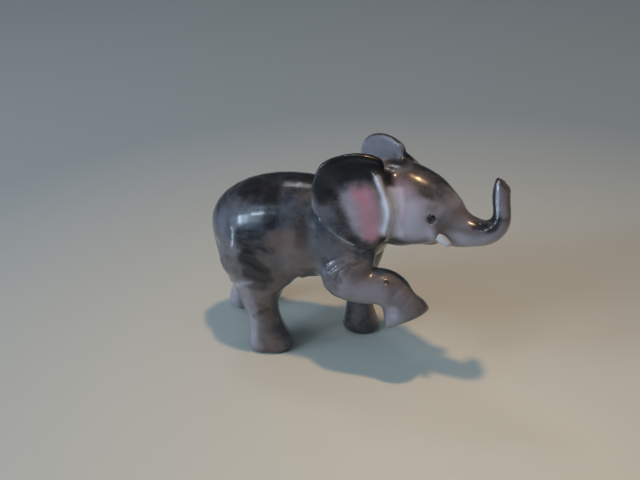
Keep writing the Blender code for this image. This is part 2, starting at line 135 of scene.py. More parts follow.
def mathNode(tree, operation, first, second=None):
    node = tree.nodes.new("ShaderNodeMath")
    node.operation = operation
    setInput(tree, node.inputs[0], first)
    if second is not None:
        setInput(tree, node.inputs[1], second)
    return node.outputs[0]


# Airbrushed pigment: a painted coverage broken up by the cloudy edge and the fine spatter of a spray
def makeSprayGroup():
    group, given, made = newGroup(
        "airbrushSpray",
        {"Coverage": 0.0, "Cloud Size": 400.0, "Cloud": 0.35, "Spatter Size": 3000.0, "Spatter": 0.2},
        ("Coverage",))
    place = addNode(group, "ShaderNodeTexCoord").outputs["Object"]
    total = coverage = given.outputs["Coverage"]
    # the break-up is strongest where the pigment is half covering
    half = mathNode(group, "MULTIPLY", mathNode(group, "SUBTRACT", 1.0, coverage), coverage)
    breakUp = mathNode(group, "MULTIPLY", half, 8.0)
    for label in ("Cloud", "Spatter"):
        noise = addNode(group, "ShaderNodeTexNoise", {
            "Vector": place, "Scale": given.outputs[label + " Size"], "Detail": 3.0, "Roughness": 0.6})
        swing = mathNode(group, "MULTIPLY", mathNode(group, "SUBTRACT", noise.outputs["Fac"], 0.5),
                         given.outputs[label])
        total = mathNode(group, "ADD", total, mathNode(group, "MULTIPLY", swing, breakUp))
    total = mathNode(group, "MAXIMUM", mathNode(group, "MINIMUM", total, 1.0), 0.0)
    group.links.new(total, made.inputs["Coverage"])
    return group


pinholeSizes = {
    "scale": 420.0,
    "radius": (0.03, 0.07),  # of a cell, from the deep middle to the rim
    "rarity": 0.86,
}


# Fired glaze: a slow ripple, fine orange peel and a few pinholes, as a height
def makeGlazeGroup():
    group, given, made = newGroup(
        "glazeSurface",
        {"Ripple Size": 260.0, "Ripple": 0.6, "Peel Size": 1500.0, "Peel": 0.12, "Pinholes": 0.5},
        ("Height", "Pinhole"))
    place = addNode(group, "ShaderNodeTexCoord").outputs["Object"]
    total = None
    for label, detail in (("Ripple", 1.0), ("Peel", 2.0)):
        noise = addNode(group, "ShaderNodeTexNoise", {
            "Vector": place, "Scale": given.outputs[label + " Size"], "Detail": detail})
        part = mathNode(group, "MULTIPLY", noise.outputs["Fac"], given.outputs[label])
        total = part if total is None else mathNode(group, "ADD", total, part)
    cells = addNode(group, "ShaderNodeTexVoronoi", {
        "Vector": place, "Scale": pinholeSizes["scale"], "Randomness": 1.0})
    deep, rim = pinholeSizes["radius"]
    spread = addNode(group, "ShaderNodeMapRange", {
        "Value": cells.outputs["Distance"], "From Min": deep, "From Max": rim, "To Min": 1.0, "To Max": 0.0})
    chosen = mathNode(group, "GREATER_THAN", cells.outputs["Color"], pinholeSizes["rarity"])
    hole = mathNode(group, "MULTIPLY", mathNode(group, "MULTIPLY", spread.outputs["Result"], chosen),
                    given.outputs["Pinholes"])
    group.links.new(mathNode(group, "SUBTRACT", total, hole), made.inputs["Height"])
    group.links.new(hole, made.inputs["Pinhole"])
    return group


sprayGroup = makeSprayGroup()
glazeGroup = makeGlazeGroup()

glazeFinish = {
    "Roughness": 0.36,
    "IOR": 1.5,
    "Specular IOR Level": 0.16,
    "Coat Weight": 1.0,
    "Coat Roughness": 0.21,
    "Coat IOR": 1.5,
}
glazeBump = {"Distance": 0.00012, "Strength": 0.35}


def addGlaze(tree, shader, ripple=0.6, pinholes=0.5):
    surface = addNode(tree, "ShaderNodeGroup", {"Ripple": ripple, "Pinholes": pinholes}, glazeGroup)
    bump = addNode(tree, "ShaderNodeBump", {**glazeBump, "Height": surface.outputs["Height"]})
    for label, value in {**glazeFinish, "Normal": bump.outputs["Normal"]}.items():
        setInput(tree, shader.inputs[label], value)
    return surface


# Pigments in the order in which they were sprayed: attribute, colour, cloud and spatter
pigments = (
    ("umber", (0.100, 0.072, 0.062), 0.45, 0.20),
    ("slate", (0.060, 0.078, 0.110), 0.40, 0.20),
    ("pearl", (0.400, 0.370, 0.440), 0.25, 0.12),
    ("blush", (0.420, 0.170, 0.210), 0.25, 0.15),
    ("charcoal", (0.010, 0.010, 0.012), 0.75, 0.35),
    # the pale last coat: mostly painted highlights and painted light in hollows, partly the pale of the
    # china on crests
    ("milk", (0.640, 0.640, 0.720), 0.15, 0.08),
)
bareGrey = (0.165, 0.145, 0.152)
dustGrey = (0.085, 0.078, 0.085)
paleChina = (0.42, 0.41, 0.44)
pinholeBrown = (0.02, 0.018, 0.018)
dustSpray = {"Coverage": 0.4, "Cloud Size": 520.0, "Cloud": 0.9, "Spatter": 0.35}


def makePaintedGlaze():
    material = bpy.data.materials.new("paintedGlaze")
    tree, shader = newTree(material)
    dust = addNode(tree, "ShaderNodeGroup", dustSpray, sprayGroup)
    colour = mixColour(tree, dust.outputs["Coverage"], bareGrey, dustGrey)
    for name, tint, cloud, spatter in pigments:
        layer = addNode(tree, "ShaderNodeAttribute")
        layer.attribute_name = name
        sprayed = addNode(tree, "ShaderNodeGroup", {
            "Coverage": layer.outputs["Fac"], "Cloud": cloud, "Spatter": spatter}, sprayGroup)
        colour = mixColour(tree, sprayed.outputs["Coverage"], colour, tint)
    # the glaze runs thin over sharp edges and the pale china shows through
    edge = addNode(tree, "ShaderNodeAttribute")
    edge.attribute_name = "thinGlaze"
    colour = mixColour(tree, edge.outputs["Fac"], colour, paleChina)
    surface = addGlaze(tree, shader)
    colour = mixColour(tree, surface.outputs["Pinhole"], colour, pinholeBrown)
    tree.links.new(colour, shader.inputs["Base Color"])
    return material


def makePlainGlaze(name, tint, shade, ripple):
    material = bpy.data.materials.new(name)
    tree, shader = newTree(material)
    sprayed = addNode(tree, "ShaderNodeGroup", {"Coverage": 0.35}, sprayGroup)
    colour = mixColour(tree, sprayed.outputs["Coverage"], tint, shade)
    tree.links.new(colour, shader.inputs["Base Color"])
    addGlaze(tree, shader, ripple, 0.0)
    return material


paintedGlaze = makePaintedGlaze()
tuskGlaze = makePlainGlaze("tuskGlaze", (0.56, 0.58, 0.60), (0.40, 0.40, 0.42), 0.3)
eyeEnamel = makePlainGlaze("eyeEnamel", (0.006, 0.006, 0.006), (0.016, 0.012, 0.010), 0.1)

# The skin of the figure
skinSizes = {
    "swell": 0.13,  # mm, closes the slip joints before the skin is drawn over them
    "voxel": 0.31,
    "quickVoxel": 0.42,
    "passVoxel": 0.42,  # the voxel that the numbers of passes belong to
    "weld": 0.002,
    "smoothPasses": 60,
    "smoothFactors": (0.60, -0.62),  # in, then back out so that the forms keep their bulk
    "blendPasses": 80,
    "blendFactor": 0.6,
    "restorePasses": 12,
    "maskPasses": 3,
}
# Node: how much of the smoothing it takes, and how far its joint with a neighbour is rounded, in mm
skinNodes = {
    "torso": (1.0, 2.4),
    "head": (0.9, 2.4),
    "trunk": (0.6, 2.0),
    "right_ear": (0.35, 0.6),
    "left_ear": (0.35, 0.6),
    "right_foreleg": (0.8, 2.4),
    "left_foreleg": (0.8, 2.4),
    "right_hind_leg": (0.8, 2.6),
    "left_hind_leg": (0.8, 2.6),
    "tail": (0.2, 0.4),
}
nodeNames = list(skinNodes)


def swollenCopy(name, swell):
    form = bmesh.new()
    form.from_mesh(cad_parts[name].data)
    bmesh.ops.remove_doubles(form, verts=form.verts, dist=skinSizes["weld"] * mm)
    form.normal_update()
    for vertex in form.verts:
        vertex.co += vertex.normal * (swell * mm)
    return meshFrom(form, name + "Swollen")


def remeshed(names, swell, voxel):
    joined = bmesh.new()
    for name in names:
        data = swollenCopy(name, swell)
        joined.from_mesh(data)
        bpy.data.meshes.remove(data)
    data = meshFrom(joined, "union")
    holder = newObject("union", data)
    remesh = holder.modifiers.new("remesh", "REMESH")
    remesh.mode = "VOXEL"
    remesh.voxel_size = voxel * mm
    bpy.context.view_layer.update()
    made = bpy.data.meshes.new_from_object(holder.evaluated_get(bpy.context.evaluated_depsgraph_get()))
    bpy.data.objects.remove(holder, do_unlink=True)
    bpy.data.meshes.remove(data)
    return made


def meshArrays(data):
    points = np.empty(len(data.vertices) * 3)
    data.vertices.foreach_get("co", points)
    edges = np.empty(len(data.edges) * 2, np.int64)
    data.edges.foreach_get("vertices", edges)
    sides = np.empty(len(data.polygons), np.int64)
    data.polygons.foreach_get("loop_total", sides)
    corners = np.empty(len(data.loops), np.int64)
    data.loops.foreach_get("vertex_index", corners)
    if not (sides == 4).all():
        raise ValueError("the remesh gave faces that aren't quads")
    return points.reshape(-1, 3) / mm, edges.reshape(-1, 2), corners.reshape(-1, 4)


def neighbourMean(values, edges, degree):
    total = np.empty_like(values)
    for axis in range(values.shape[1]):
        column = values[:, axis]
        total[:, axis] = (np.bincount(edges[:, 0], column[edges[:, 1]], len(values))
                          + np.bincount(edges[:, 1], column[edges[:, 0]], len(values)))
    return total / degree[:, None]


def vertexNormals(points, quads):
    across = points[quads[:, 2]] - points[quads[:, 0]]
    along = points[quads[:, 3]] - points[quads[:, 1]]
    flat = np.cross(across, along)
    total = np.zeros_like(points)
    for corner in range(4):
        for axis in range(3):
            total[:, axis] += np.bincount(quads[:, corner], flat[:, axis], len(points))
    return total / np.maximum(np.linalg.norm(total, axis=1), 1e-12)[:, None]


def smoothStep(value):
    value = np.clip(value, 0, 1)
    return value * value * (3 - 2 * value)


def solidTree(name):
    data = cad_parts[name].data
    corners = [vertex.co / mm for vertex in data.vertices]
    return corners, BVHTree.FromPolygons(corners, [tuple(face.vertices) for face in data.polygons])


def nodeDistances(points, reach=3.0):
    found = np.full((len(points), len(nodeNames)), reach)
    for column, name in enumerate(nodeNames):
        corners, tree = solidTree(name)
        low, high = np.min(corners, axis=0) - reach, np.max(corners, axis=0) + reach
        for index in np.nonzero(((points > low) & (points < high)).all(1))[0]:
            distance = tree.find_nearest(Vector(points[index]), reach)[3]
            if distance is not None:
                found[index, column] = distance
    return found


print("skin: remeshing")
voxel = skinSizes["voxel"]
skinMesh = remeshed(nodeNames, skinSizes["swell"], voxel)
points, edges, quads = meshArrays(skinMesh)
degree = np.bincount(edges.ravel(), minlength=len(points)).astype(float)
passScale = (skinSizes["passVoxel"] / voxel) ** 2


def spreadOut(values, passes):
    values = values[:, None]
    for _ in range(passes):
        values = neighbourMean(values, edges, degree)
    return values[:, 0]


print("skin: %d points" % len(points))

distances = nodeDistances(points)
order = np.argsort(distances, axis=1)
nearest = order[:, 0]
rows = np.arange(len(points))
reach = np.array([skinNodes[name][1] for name in nodeNames])
pairReach = np.minimum(reach[order[:, 0]], reach[order[:, 1]])
gap = distances[rows, order[:, 1]] - distances[rows, order[:, 0]]
seam = 1 - smoothStep(gap / pairReach)

share = spreadOut(np.array([skinNodes[name][0] for name in nodeNames])[nearest], 2)
passes = round(skinSizes["smoothPasses"] * passScale)
for step in range(passes):
    weight = np.clip(share * passes - step, 0, 1)[:, None]
    for factor in skinSizes["smoothFactors"]:
        points = points + (neighbourMean(points, edges, degree) - points) * factor * weight
weight = (seam * skinSizes["blendFactor"])[:, None]
for step in range(round(skinSizes["blendPasses"] * passScale)):
    points = points + (neighbourMean(points, edges, degree) - points) * weight
normals = vertexNormals(points, quads)
points = points - normals * skinSizes["swell"]


def solidOffset(reach=2.0):
    found = np.zeros(len(points))
    for column, name in enumerate(nodeNames):
        _, tree = solidTree(name)
        for index in np.nonzero(nearest == column)[0]:
            place = tree.find_nearest(Vector(points[index]), reach)[0]
            if place is not None:
                found[index] = normals[index] @ (np.array(place) - points[index])
    return found


# smoothing thins a form, so each place goes back out to the solid it came from
offset = spreadOut(solidOffset() * (1 - seam), round(skinSizes["restorePasses"] * passScale))
points = points + normals * offset[:, None]
normals = vertexNormals(points, quads)
print("skin: smoothed, put back by %.2f mm on average" % float(np.abs(offset).mean()))

nodeMasks = {name: spreadOut((nearest == index).astype(float), skinSizes["maskPasses"])
             for index, name in enumerate(nodeNames)}


def maskOf(nodes):
    return np.clip(sum(nodeMasks[name] for name in nodes.split()), 0, 1)


# Modelling tools
surfaceTree = BVHTree.FromPolygons([Vector(p) for p in points], [tuple(q) for q in quads.tolist()])


def roundPath(places, perSpan=6, onSkin=True):
    places = [np.array(p, float) for p in places]
    if len(places) > 2:
        ends = [2 * places[0] - places[1]] + places + [2 * places[-1] - places[-2]]
        path = []
        for a, b, c, d in zip(ends, ends[1:], ends[2:], ends[3:]):
            for step in range(perSpan):
                t = step / perSpan
                path.append(0.5 * (2 * b + (c - a) * t + (2 * a - 5 * b + 4 * c - d) * t * t
                                   + (3 * b - a - 3 * c + d) * t ** 3))
        path.append(places[-1])
    else:
        path = places
    if onSkin:
        path = [np.array(surfaceTree.find_nearest(Vector(p))[0]) for p in path]
    return np.array(path)


def pathDistance(cloud, path):
    best = np.full(len(cloud), 1e9)
    where = np.zeros(len(cloud))
    if len(path) == 1:
        return np.linalg.norm(cloud - path[0], axis=1), where + 0.5
    lengths = np.linalg.norm(np.diff(path, axis=0), axis=1)
    starts = np.concatenate([[0], np.cumsum(lengths)])
    for index, (a, b) in enumerate(zip(path, path[1:])):
        way = b - a
        t = np.clip((cloud - a) @ way / max(way @ way, 1e-9), 0, 1)
        distance = np.linalg.norm(cloud - (a + t[:, None] * way), axis=1)
        closer = distance < best
        best = np.where(closer, distance, best)
        where = np.where(closer, starts[index] + t * lengths[index], where)
    return best, where / max(starts[-1], 1e-9)


def onHead(place):
    x, y, z = np.array(place, float)
    c, s = math.cos(headTurn), math.sin(headTurn)
    return np.array((nape[0] + x * c - y * s, nape[1] + x * s + y * c, nape[2] + z))


def farSide(place, head=False):
    place = np.array(place, float)
    if not head:
        return place * (1, -1, 1)
    c, s = math.cos(-headTurn), math.sin(-headTurn)
    x, y = place[0] - nape[0], place[1] - nape[1]
    local = np.array((x * c - y * s, -(x * s + y * c), place[2] - nape[2]))
    return onHead(local)


def nearPath(path, reachOut):
    return np.nonzero(((points > path.min(0) - reachOut) & (points < path.max(0) + reachOut)).all(1))[0]


def press(places, width, depth, lip=0.25, taper=0.25):
    global points
    path = roundPath(places)
    near = nearPath(path, width * 4)
    if not len(near):
        return
    distance, along = pathDistance(points[near], path)
    fade = np.ones(len(near)) if len(path) == 1 else smoothStep(np.minimum(along, 1 - along) / taper + 0.15)
    shape = np.exp(-(distance / width) ** 2) - lip * np.exp(-((distance - 2 * width) / width) ** 2)
    points[near] -= normals[near] * (depth * shape * fade)[:, None]


# Relief lines as width, depth and places in mm: a depth above zero presses in, one below raises
haunchRelief = {
    "folds": [
        (0.42, 0.14, (-20.4, -9.4, 25.6), (-18.1, -9.8, 25.5), (-16.1, -9.6, 25.6), (-14.1, -9.5, 24.9)),
        (0.6, 0.13, (-19.4, -10.6, 22.9), (-17.9, -10.7, 22.4), (-16.4, -10.4, 21.4), (-14.9, -10.1, 20.4)),
        (0.42, 0.13, (-18.9, -10.5, 19.6), (-17.2, -10.6, 19.1), (-15.6, -10.4, 18.6), (-14.2, -9.9, 18.4)),
        (0.42, 0.08, (-21, -8.6, 27.4), (-19.1, -9.2, 27.4), (-17, -9.3, 27.6), (-14.9, -9.4, 27.1)),
        (0.35, -0.09, (-20.6, -10.2, 23.7), (-18.6, -10.2, 24), (-16.4, -10.3, 23.7)),
    ],
    "ankle": [
        (0.42, -0.13, (-21.8, -8.7, 15.2), (-19.9, -9.9, 16.6), (-17.9, -10.6, 17.6)),
        (0.4, 0.12, (-21.2, -9, 14), (-19.5, -9.6, 15.3), (-17.6, -10.2, 16.4)),
        (0.32, 0.2, (-20.6, -9.6, 16.6), (-18.7, -10.2, 16.2), (-16.6, -10.1, 16.5)),
        (0.3, 0.12, (-20, -9.4, 15.2), (-18.4, -9.8, 14.8), (-16.4, -9.6, 15.1)),
        (0.32, 0.16, (-17.9, -9.1, 12.3), (-16.2, -8.8, 11.3), (-14.6, -7.6, 10)),
    ],
    "hollow": [
        (1.6, 0.28, (-12.6, -8.4, 31.5), (-11.6, -9.4, 27.5), (-12.4, -9.6, 23.5), (-14, -8.6, 20.5)),
    ],
    "bulge": [
        (4.2, -0.28, (-19.5, -9.3, 24.5)),
        (2.2, -0.22, (-17.6, -9.8, 17.8)),
    ],
}
forelegRelief = {
    "elbow": [
        (0.4, 0.07, (-3.6, -9.6, 22.9), (-2.4, -9.9, 24.6), (-0.9, -9.5, 25.6)),
        (0.4, 0.09, (-2.3, -10.7, 22.3), (-1.1, -10.6, 23.9), (0.6, -10, 25.3)),
        (0.4, 0.07, (-0.5, -11.6, 21.9), (0.3, -11, 23.8), (2.1, -10, 25.1)),
        (0.4, 0.05, (1.4, -11.3, 23.4), (2.1, -10.4, 24.5), (3.4, -9.6, 25.2)),
    ],
    "shoulder": [
        (1.3, 0.12, (-6.6, -8.2, 34), (-6.9, -9.4, 30.5), (-6.2, -9.6, 27), (-4.6, -9.2, 23.4)),
        (3.2, -0.3, (-2.8, -9.4, 29.5)),
    ],
    "wrist": [
        (0.28, 0.28, (9.2, -10.4, 22.5)),
        (0.45, 0.1, (12, -8.6, 21.3), (11, -10.6, 20.4), (9.8, -11.6, 18.6)),
        (0.4, 0.07, (13.6, -8.2, 19.9), (13, -10.3, 18.6), (11.8, -11.8, 17)),
    ],
}
headRelief = {
    "eyeSocket": [
        (1.25, 0.2, (16.5, -7.9, 35.9)),
        (0.28, -0.12, (15.4, -8.2, 36.5), (16.4, -8.1, 37), (17.35, -7.6, 36.75)),
        (0.26, -0.08, (15.5, -8.3, 35.15), (16.45, -8.4, 34.85), (17.35, -8.1, 35.15)),
    ],
    "cheek": [
        (2.6, -0.25, (13, -8.1, 34.5)),
        (0.9, -0.12, (15, -7, 38.6), (17, -6.9, 37.7)),
    ],
}
# Nodes, place, width and way: what a thumb pushes out or in while the clay is soft
thumbWork = (
    ("right_ear", (-3.8, -6.4, 43.2), 3, (-0.75, -0.5, 0.35)),
    ("right_ear", (-5.7, -7.2, 38.8), 2.5, (-0.35, -0.25, 0.05)),
    ("right_ear", (-4.9, -8.1, 34.5), 2.6, (-0.75, -0.55, 0.1)),
    ("right_hind_leg torso", (-11.5, -6.3, 14.6), 2.4, (-0.75, 0.1, 0.45)),
    ("right_foreleg", (11.5, -10.6, 13.5), 1.8, (-1.3, -0.8, -0.45)),
    ("right_foreleg", (9.9, -9.9, 14.2), 1.5, (-0.35, -0.2, -0.2)),
    ("right_foreleg", (14.1, -6.1, 19.2), 1.6, (-0.49, -0.35, -0.33)),
    ("head", (10.5, -5.2, 28.7), 3, (0.05, -0.2, -0.42)),
    ("head", (14.5, -6.6, 30.2), 2.2, (0.05, -0.15, -0.3)),
    ("head trunk", (20, -5.9, 30.8), 1.8, (0.1, -0.35, -0.65)),
    ("head trunk", (22, -5.7, 30.4), 2, (0.08, -0.2, -0.3)),
    ("head trunk", (19.7, -0.7, 38.4), 2.2, (-0.45, -0.1, -0.2)),
    ("trunk", (28.2, -1.6, 42.6), 1.1, (-0.45, -0.2, -0.4)),
    ("trunk", (29.3, -2, 41.2), 1, (0.25, 0.05, 0)),
    ("right_hind_leg", (-19.3, -7.6, 1.8), 3, (-0.6, -0.2, 0)),
    ("right_hind_leg", (-17.5, -9.6, 0.4), 2.2, (-0.6, -0.1, 0)),
    ("right_hind_leg", (-14, -10.2, 0.4), 3, (0, 0.6, 0)),
    ("torso right_hind_leg", (-22.3, -9.2, 25.2), 2.6, (-0.08, -0.34, 0.06)),
    ("tail", (-29.1, -0.1, 29.2), 2, (0.67, -0.11, -0.53)),
    ("tail", (-29.8, -0.5, 26.4), 2, (0.2, 0.06, 0)),
    ("tail", (-25.6, -4.3, 14.2), 2, (0.53, 0.38, 0.36)),
    ("torso", (-9.4, -5.5, 17.9), 2.4, (0.09, -0.3, -0.55)),
    ("torso", (-5.5, -5, 18.3), 2.2, (0.04, -0.14, -0.26)),
    ("head", (17.2, -8.1, 32.7), 1.15, (0.2, -0.92, -0.2)),
    ("head", (15.2, 4.1, 32.7), 1.15, (0.05, 0.92, -0.2)),
    ("head", (10, 1.6, 28.7), 3, (0.05, 0.2, -0.42)),
    ("head", (14, 2, 30.2), 2.2, (0.05, 0.15, -0.3)),
)


def pull(nodes, place, width, way):
    global points
    distance = np.linalg.norm(points - np.array(place), axis=1)
    points += (np.exp(-(distance / width) ** 2) * maskOf(nodes))[:, None] * np.array(way)


def workRelief(groups, bothSides=False):
    for lines in groups.values():
        for width, depth, *places in lines:
            press(places, width, depth)
            if bothSides:
                press([farSide(place, head=True) for place in places], width, depth)


for nodes, place, width, way in thumbWork:
    pull(nodes, place, width, way)
workRelief(haunchRelief)
workRelief(forelegRelief)
workRelief(headRelief, bothSides=True)
# the far haunch and the far shoulder stand on straighter legs, so their folds sit a little lower
farFoldShift = (-1.5, 0, -0.6)
for width, depth, *places in haunchRelief["folds"][1:3] + haunchRelief["hollow"] + haunchRelief["bulge"][:1]:
    press([farSide(place) + farFoldShift for place in places], width, depth)
for width, depth, *places in forelegRelief["shoulder"]:
    press([farSide(place) for place in places], width, depth)

# Ears: a sharp fold down the front, soft ribs that fan out of the root, and a rolled rim
earRelief = {
    "ridge": ((4.6, -5.9, 43.6), (5.9, -6.8, 42.2), (7.1, -7.7, 40.6), (8.1, -8.5, 39.0), (8.9, -9.2, 37.0),
              (8.8, -9.6, 34.6), (8.2, -9.3, 31.8)),
    "ridgeWidth": 0.42,
    "ridgeHeight": 0.32,
    "root": (7.4, -8.6, 34.5),
    "ribs": ((0.2, -8.6, 43.0), (-3.6, -8.6, 40.0), (-4.2, -8.6, 36.0), (-2.6, -8.7, 32.4),
             (1.4, -8.8, 29.6)),
    "ribWidth": 0.8,
    "ribDepth": 0.13,
    "farShift": (1.0, -0.2, 0),  # the far ear sits a little further forward
}


def nearEar(place):
    return np.array(place, float)


def farEar(place):
    return farSide(place, head=True) + earRelief["farShift"]


for onEar in (nearEar, farEar):
    press([onEar(place) for place in earRelief["ridge"]], earRelief["ridgeWidth"], -earRelief["ridgeHeight"],
          lip=0.35, taper=0.2)
    for end in earRelief["ribs"]:
        middle = (np.array(earRelief["root"]) + end) / 2
        press([onEar(place) for place in (earRelief["root"], middle, end)],
              earRelief["ribWidth"], earRelief["ribDepth"])

normals = vertexNormals(points, quads)
points[:, 2] = np.maximum(points[:, 2], 0.0)
print("skin: relief worked")

# Trunk rings, a Geometry Nodes tree along the trunk
trunkRings = {
    "path": ((16.4, 0, 0.9), (18.2, 0, 0.4), (20.2, 0, -0.1), (22.0, 0, -0.3), (24.0, 0, -0.1),
             (25.9, 0.1, 1.0), (26.8, 0.6, 2.6), (26.6, 1.3, 4.3), (26.0, 2.0, 6.0), (25.6, 2.6, 7.4),
             (25.6, 3.1, 8.8), (25.8, 3.6, 10.2)),
    "spacing": 1.15,
    "depth": 0.032,
    "step": 0.1,
    "maskPasses": 6,
    "fade": (0.15, 0.25),  # share of the trunk's length at its root and at its tip
}


def makeRingTree():
    tree = bpy.data.node_groups.new("ringsAlongPath", "GeometryNodeTree")
    sockets = {}
    for label, kind in (("Geometry", "Geometry"), ("Path", "Object"), ("Spacing", "Float"),
                        ("Depth", "Float"), ("Finish", "Material")):
        socket = tree.interface.new_socket(label, in_out="INPUT", socket_type="NodeSocket" + kind)
        sockets[label] = socket.identifier
    tree.interface.new_socket("Geometry", in_out="OUTPUT", socket_type="NodeSocketGeometry")
    given = tree.nodes.new("NodeGroupInput").outputs
    pathInfo = addNode(tree, "GeometryNodeObjectInfo", {"Object": given["Path"]})
    fine = addNode(tree, "GeometryNodeResampleCurve", {"Curve": pathInfo.outputs["Geometry"]})
    fine.mode = "LENGTH"
    fine.inputs["Length"].default_value = trunkRings["step"] * mm
    capture = tree.nodes.new("GeometryNodeCaptureAttribute")
    capture.domain = "POINT"
    capture.capture_items.new("FLOAT", "Along")
    tree.links.new(fine.outputs["Curve"], capture.inputs["Geometry"])
    tree.links.new(addNode(tree, "GeometryNodeSplineParameter").outputs["Length"], capture.inputs["Along"])
    wire = addNode(tree, "GeometryNodeCurveToMesh", {"Curve": capture.outputs["Geometry"]}).outputs["Mesh"]
    closest = addNode(tree, "GeometryNodeSampleNearest", {"Geometry": wire})
    along = addNode(tree, "GeometryNodeSampleIndex", {
        "Geometry": wire, "Value": capture.outputs["Along"], "Index": closest.outputs["Index"]})
    turns = mathNode(tree, "DIVIDE", along.outputs["Value"], given["Spacing"])
    wave = mathNode(tree, "COSINE", mathNode(tree, "MULTIPLY", turns, 2 * math.pi))
    dip = mathNode(tree, "POWER", mathNode(tree, "MAXIMUM", wave, 0.0), 3.0)
    mask = addNode(tree, "GeometryNodeInputNamedAttribute", {"Name": "ringMask"})
    drop = mathNode(tree, "MULTIPLY", mathNode(tree, "MULTIPLY", dip, mask.outputs["Attribute"]),
                    mathNode(tree, "MULTIPLY", given["Depth"], -1.0))
    push = tree.nodes.new("ShaderNodeVectorMath")
    push.operation = "SCALE"
    tree.links.new(addNode(tree, "GeometryNodeInputNormal").outputs["Normal"], push.inputs["Vector"])
    tree.links.new(drop, push.inputs["Scale"])
    moved = addNode(tree, "GeometryNodeSetPosition", {
        "Geometry": given["Geometry"], "Offset": push.outputs["Vector"]})
    real = addNode(tree, "GeometryNodeRealizeInstances", {"Geometry": moved.outputs["Geometry"]})
    painted = addNode(tree, "GeometryNodeSetMaterial", {
        "Geometry": real.outputs["Geometry"], "Material": given["Finish"]})
    addNode(tree, "NodeGroupOutput", {"Geometry": painted.outputs["Geometry"]})
    return tree, sockets


def ringTrunk():
    global points
    line = bpy.data.curves.new("trunkPath", "CURVE")
    line.dimensions = "3D"
    spline = line.splines.new("POLY")
    path = roundPath([onHead(place) for place in trunkRings["path"]], perSpan=5, onSkin=False)
    spline.points.add(len(path) - 1)
    for point, place in zip(spline.points, path):
        point.co = (*(place * mm), 1)
    pathObject = newObject("trunkPath", line)
    skinMesh.vertices.foreach_set("co", (points * mm).ravel())
    mask = spreadOut((nearest == nodeNames.index("trunk")).astype(float), trunkRings["maskPasses"])
    _, along = pathDistance(points, path)
    rise, fall = trunkRings["fade"]
    mask = mask * smoothStep((1 - along) / fall) * smoothStep(along / rise + 0.2)
    skinMesh.attributes.new("ringMask", "FLOAT", "POINT").data.foreach_set("value", mask)
    skinMesh.update()
    holder = newObject("skin", skinMesh)
    tree, sockets = makeRingTree()
    rings = holder.modifiers.new("rings", "NODES")
    rings.node_group = tree
    rings[sockets["Path"]] = pathObject
    rings[sockets["Spacing"]] = trunkRings["spacing"] * mm
    rings[sockets["Depth"]] = trunkRings["depth"] * mm
    rings[sockets["Finish"]] = paintedGlaze
    bpy.context.view_layer.update()
    ringed = bpy.data.meshes.new_from_object(holder.evaluated_get(bpy.context.evaluated_depsgraph_get()))
    holder.modifiers.remove(rings)
    bpy.data.objects.remove(holder, do_unlink=True)
    bpy.data.objects.remove(pathObject, do_unlink=True)
    found = np.empty(len(ringed.vertices) * 3)
    ringed.vertices.foreach_get("co", found)
    points = found.reshape(-1, 3) / mm
    bpy.data.meshes.remove(ringed)


ringTrunk()
normals = vertexNormals(points, quads)
print("trunk: rings made")

# Airbrush painting: each stroke is a width, a strength and places in mm
coats = {name: np.zeros(len(points)) for name, _, _, _ in pigments}
mistReach = 1.6  # widths


def spray(coat, places, width, strength, nodes="", facing=None, core=0.5):
    path = roundPath(places)
    near = nearPath(path, width * mistReach)
    distance, _ = pathDistance(points[near], path)
    mist = strength * (1 - smoothStep((distance / width - core) / (mistReach - core)))
    if facing is not None:
        turned = normals[near] @ (np.array(facing, float) / np.linalg.norm(facing))
        mist = mist * smoothStep((turned + 0.35) / 0.6)
    if nodes:
        mist = mist * maskOf(nodes)[near]
    coats[coat][near] = 1 - (1 - coats[coat][near]) * (1 - mist)


def airbrush(nodes, work, bothSides=False, head=False):
    for coat, strokes in work.items():
        for width, strength, *places in strokes:
            spray(coat, places, width, strength, nodes)
            if bothSides:
                others = nodes.replace("right", "left")
                spray(coat, [farSide(place, head) for place in places], width, strength, others)


# paths that two coats share
haunchTop = ((-16.5, -6.9, 32.5), (-15.3, -8, 31.1), (-15.8, -8.9, 29.2), (-17.8, -9.3, 27.5))
flankCrease = ((-15.1, -5.9, 33.9), (-14.2, -7.4, 32.3), (-14.8, -8.3, 30.5))
ribShade = ((-8.7, -8.2, 31.4), (-7.4, -8.7, 29.7), (-8, -9.4, 27.6))
thighFront = ((-14.5, -9.8, 22.5), (-13.4, -9.6, 20.3), (-12.9, -9.3, 17.6), (-13.7, -9, 15.1))
wristTop = ((12.8, -9.8, 20.7), (14.8, -9.8, 18.6), (14.5, -10.6, 17.5))
# the lifted heel, where a reflection of the window is painted
heelReflection = ((10.8, -11.7, 17), (10.8, -11.4, 14.9), (12.1, -11.8, 15))
# the dark saddle
airbrush("torso tail", {
    "charcoal": [
        (4.4, 0.84, (-27.5, 0, 29.5), (-24.5, 0, 33), (-19, 0, 35.6), (-12, 0, 36.6), (-4, 0, 36.6),
         (2, 0, 36))],
    "slate": [(4.6, 0.8, (-27, 0, 30), (-24, 0, 33), (-19, 0, 35.6), (-12, 0, 36.6), (-4, 0, 36.6))],
})
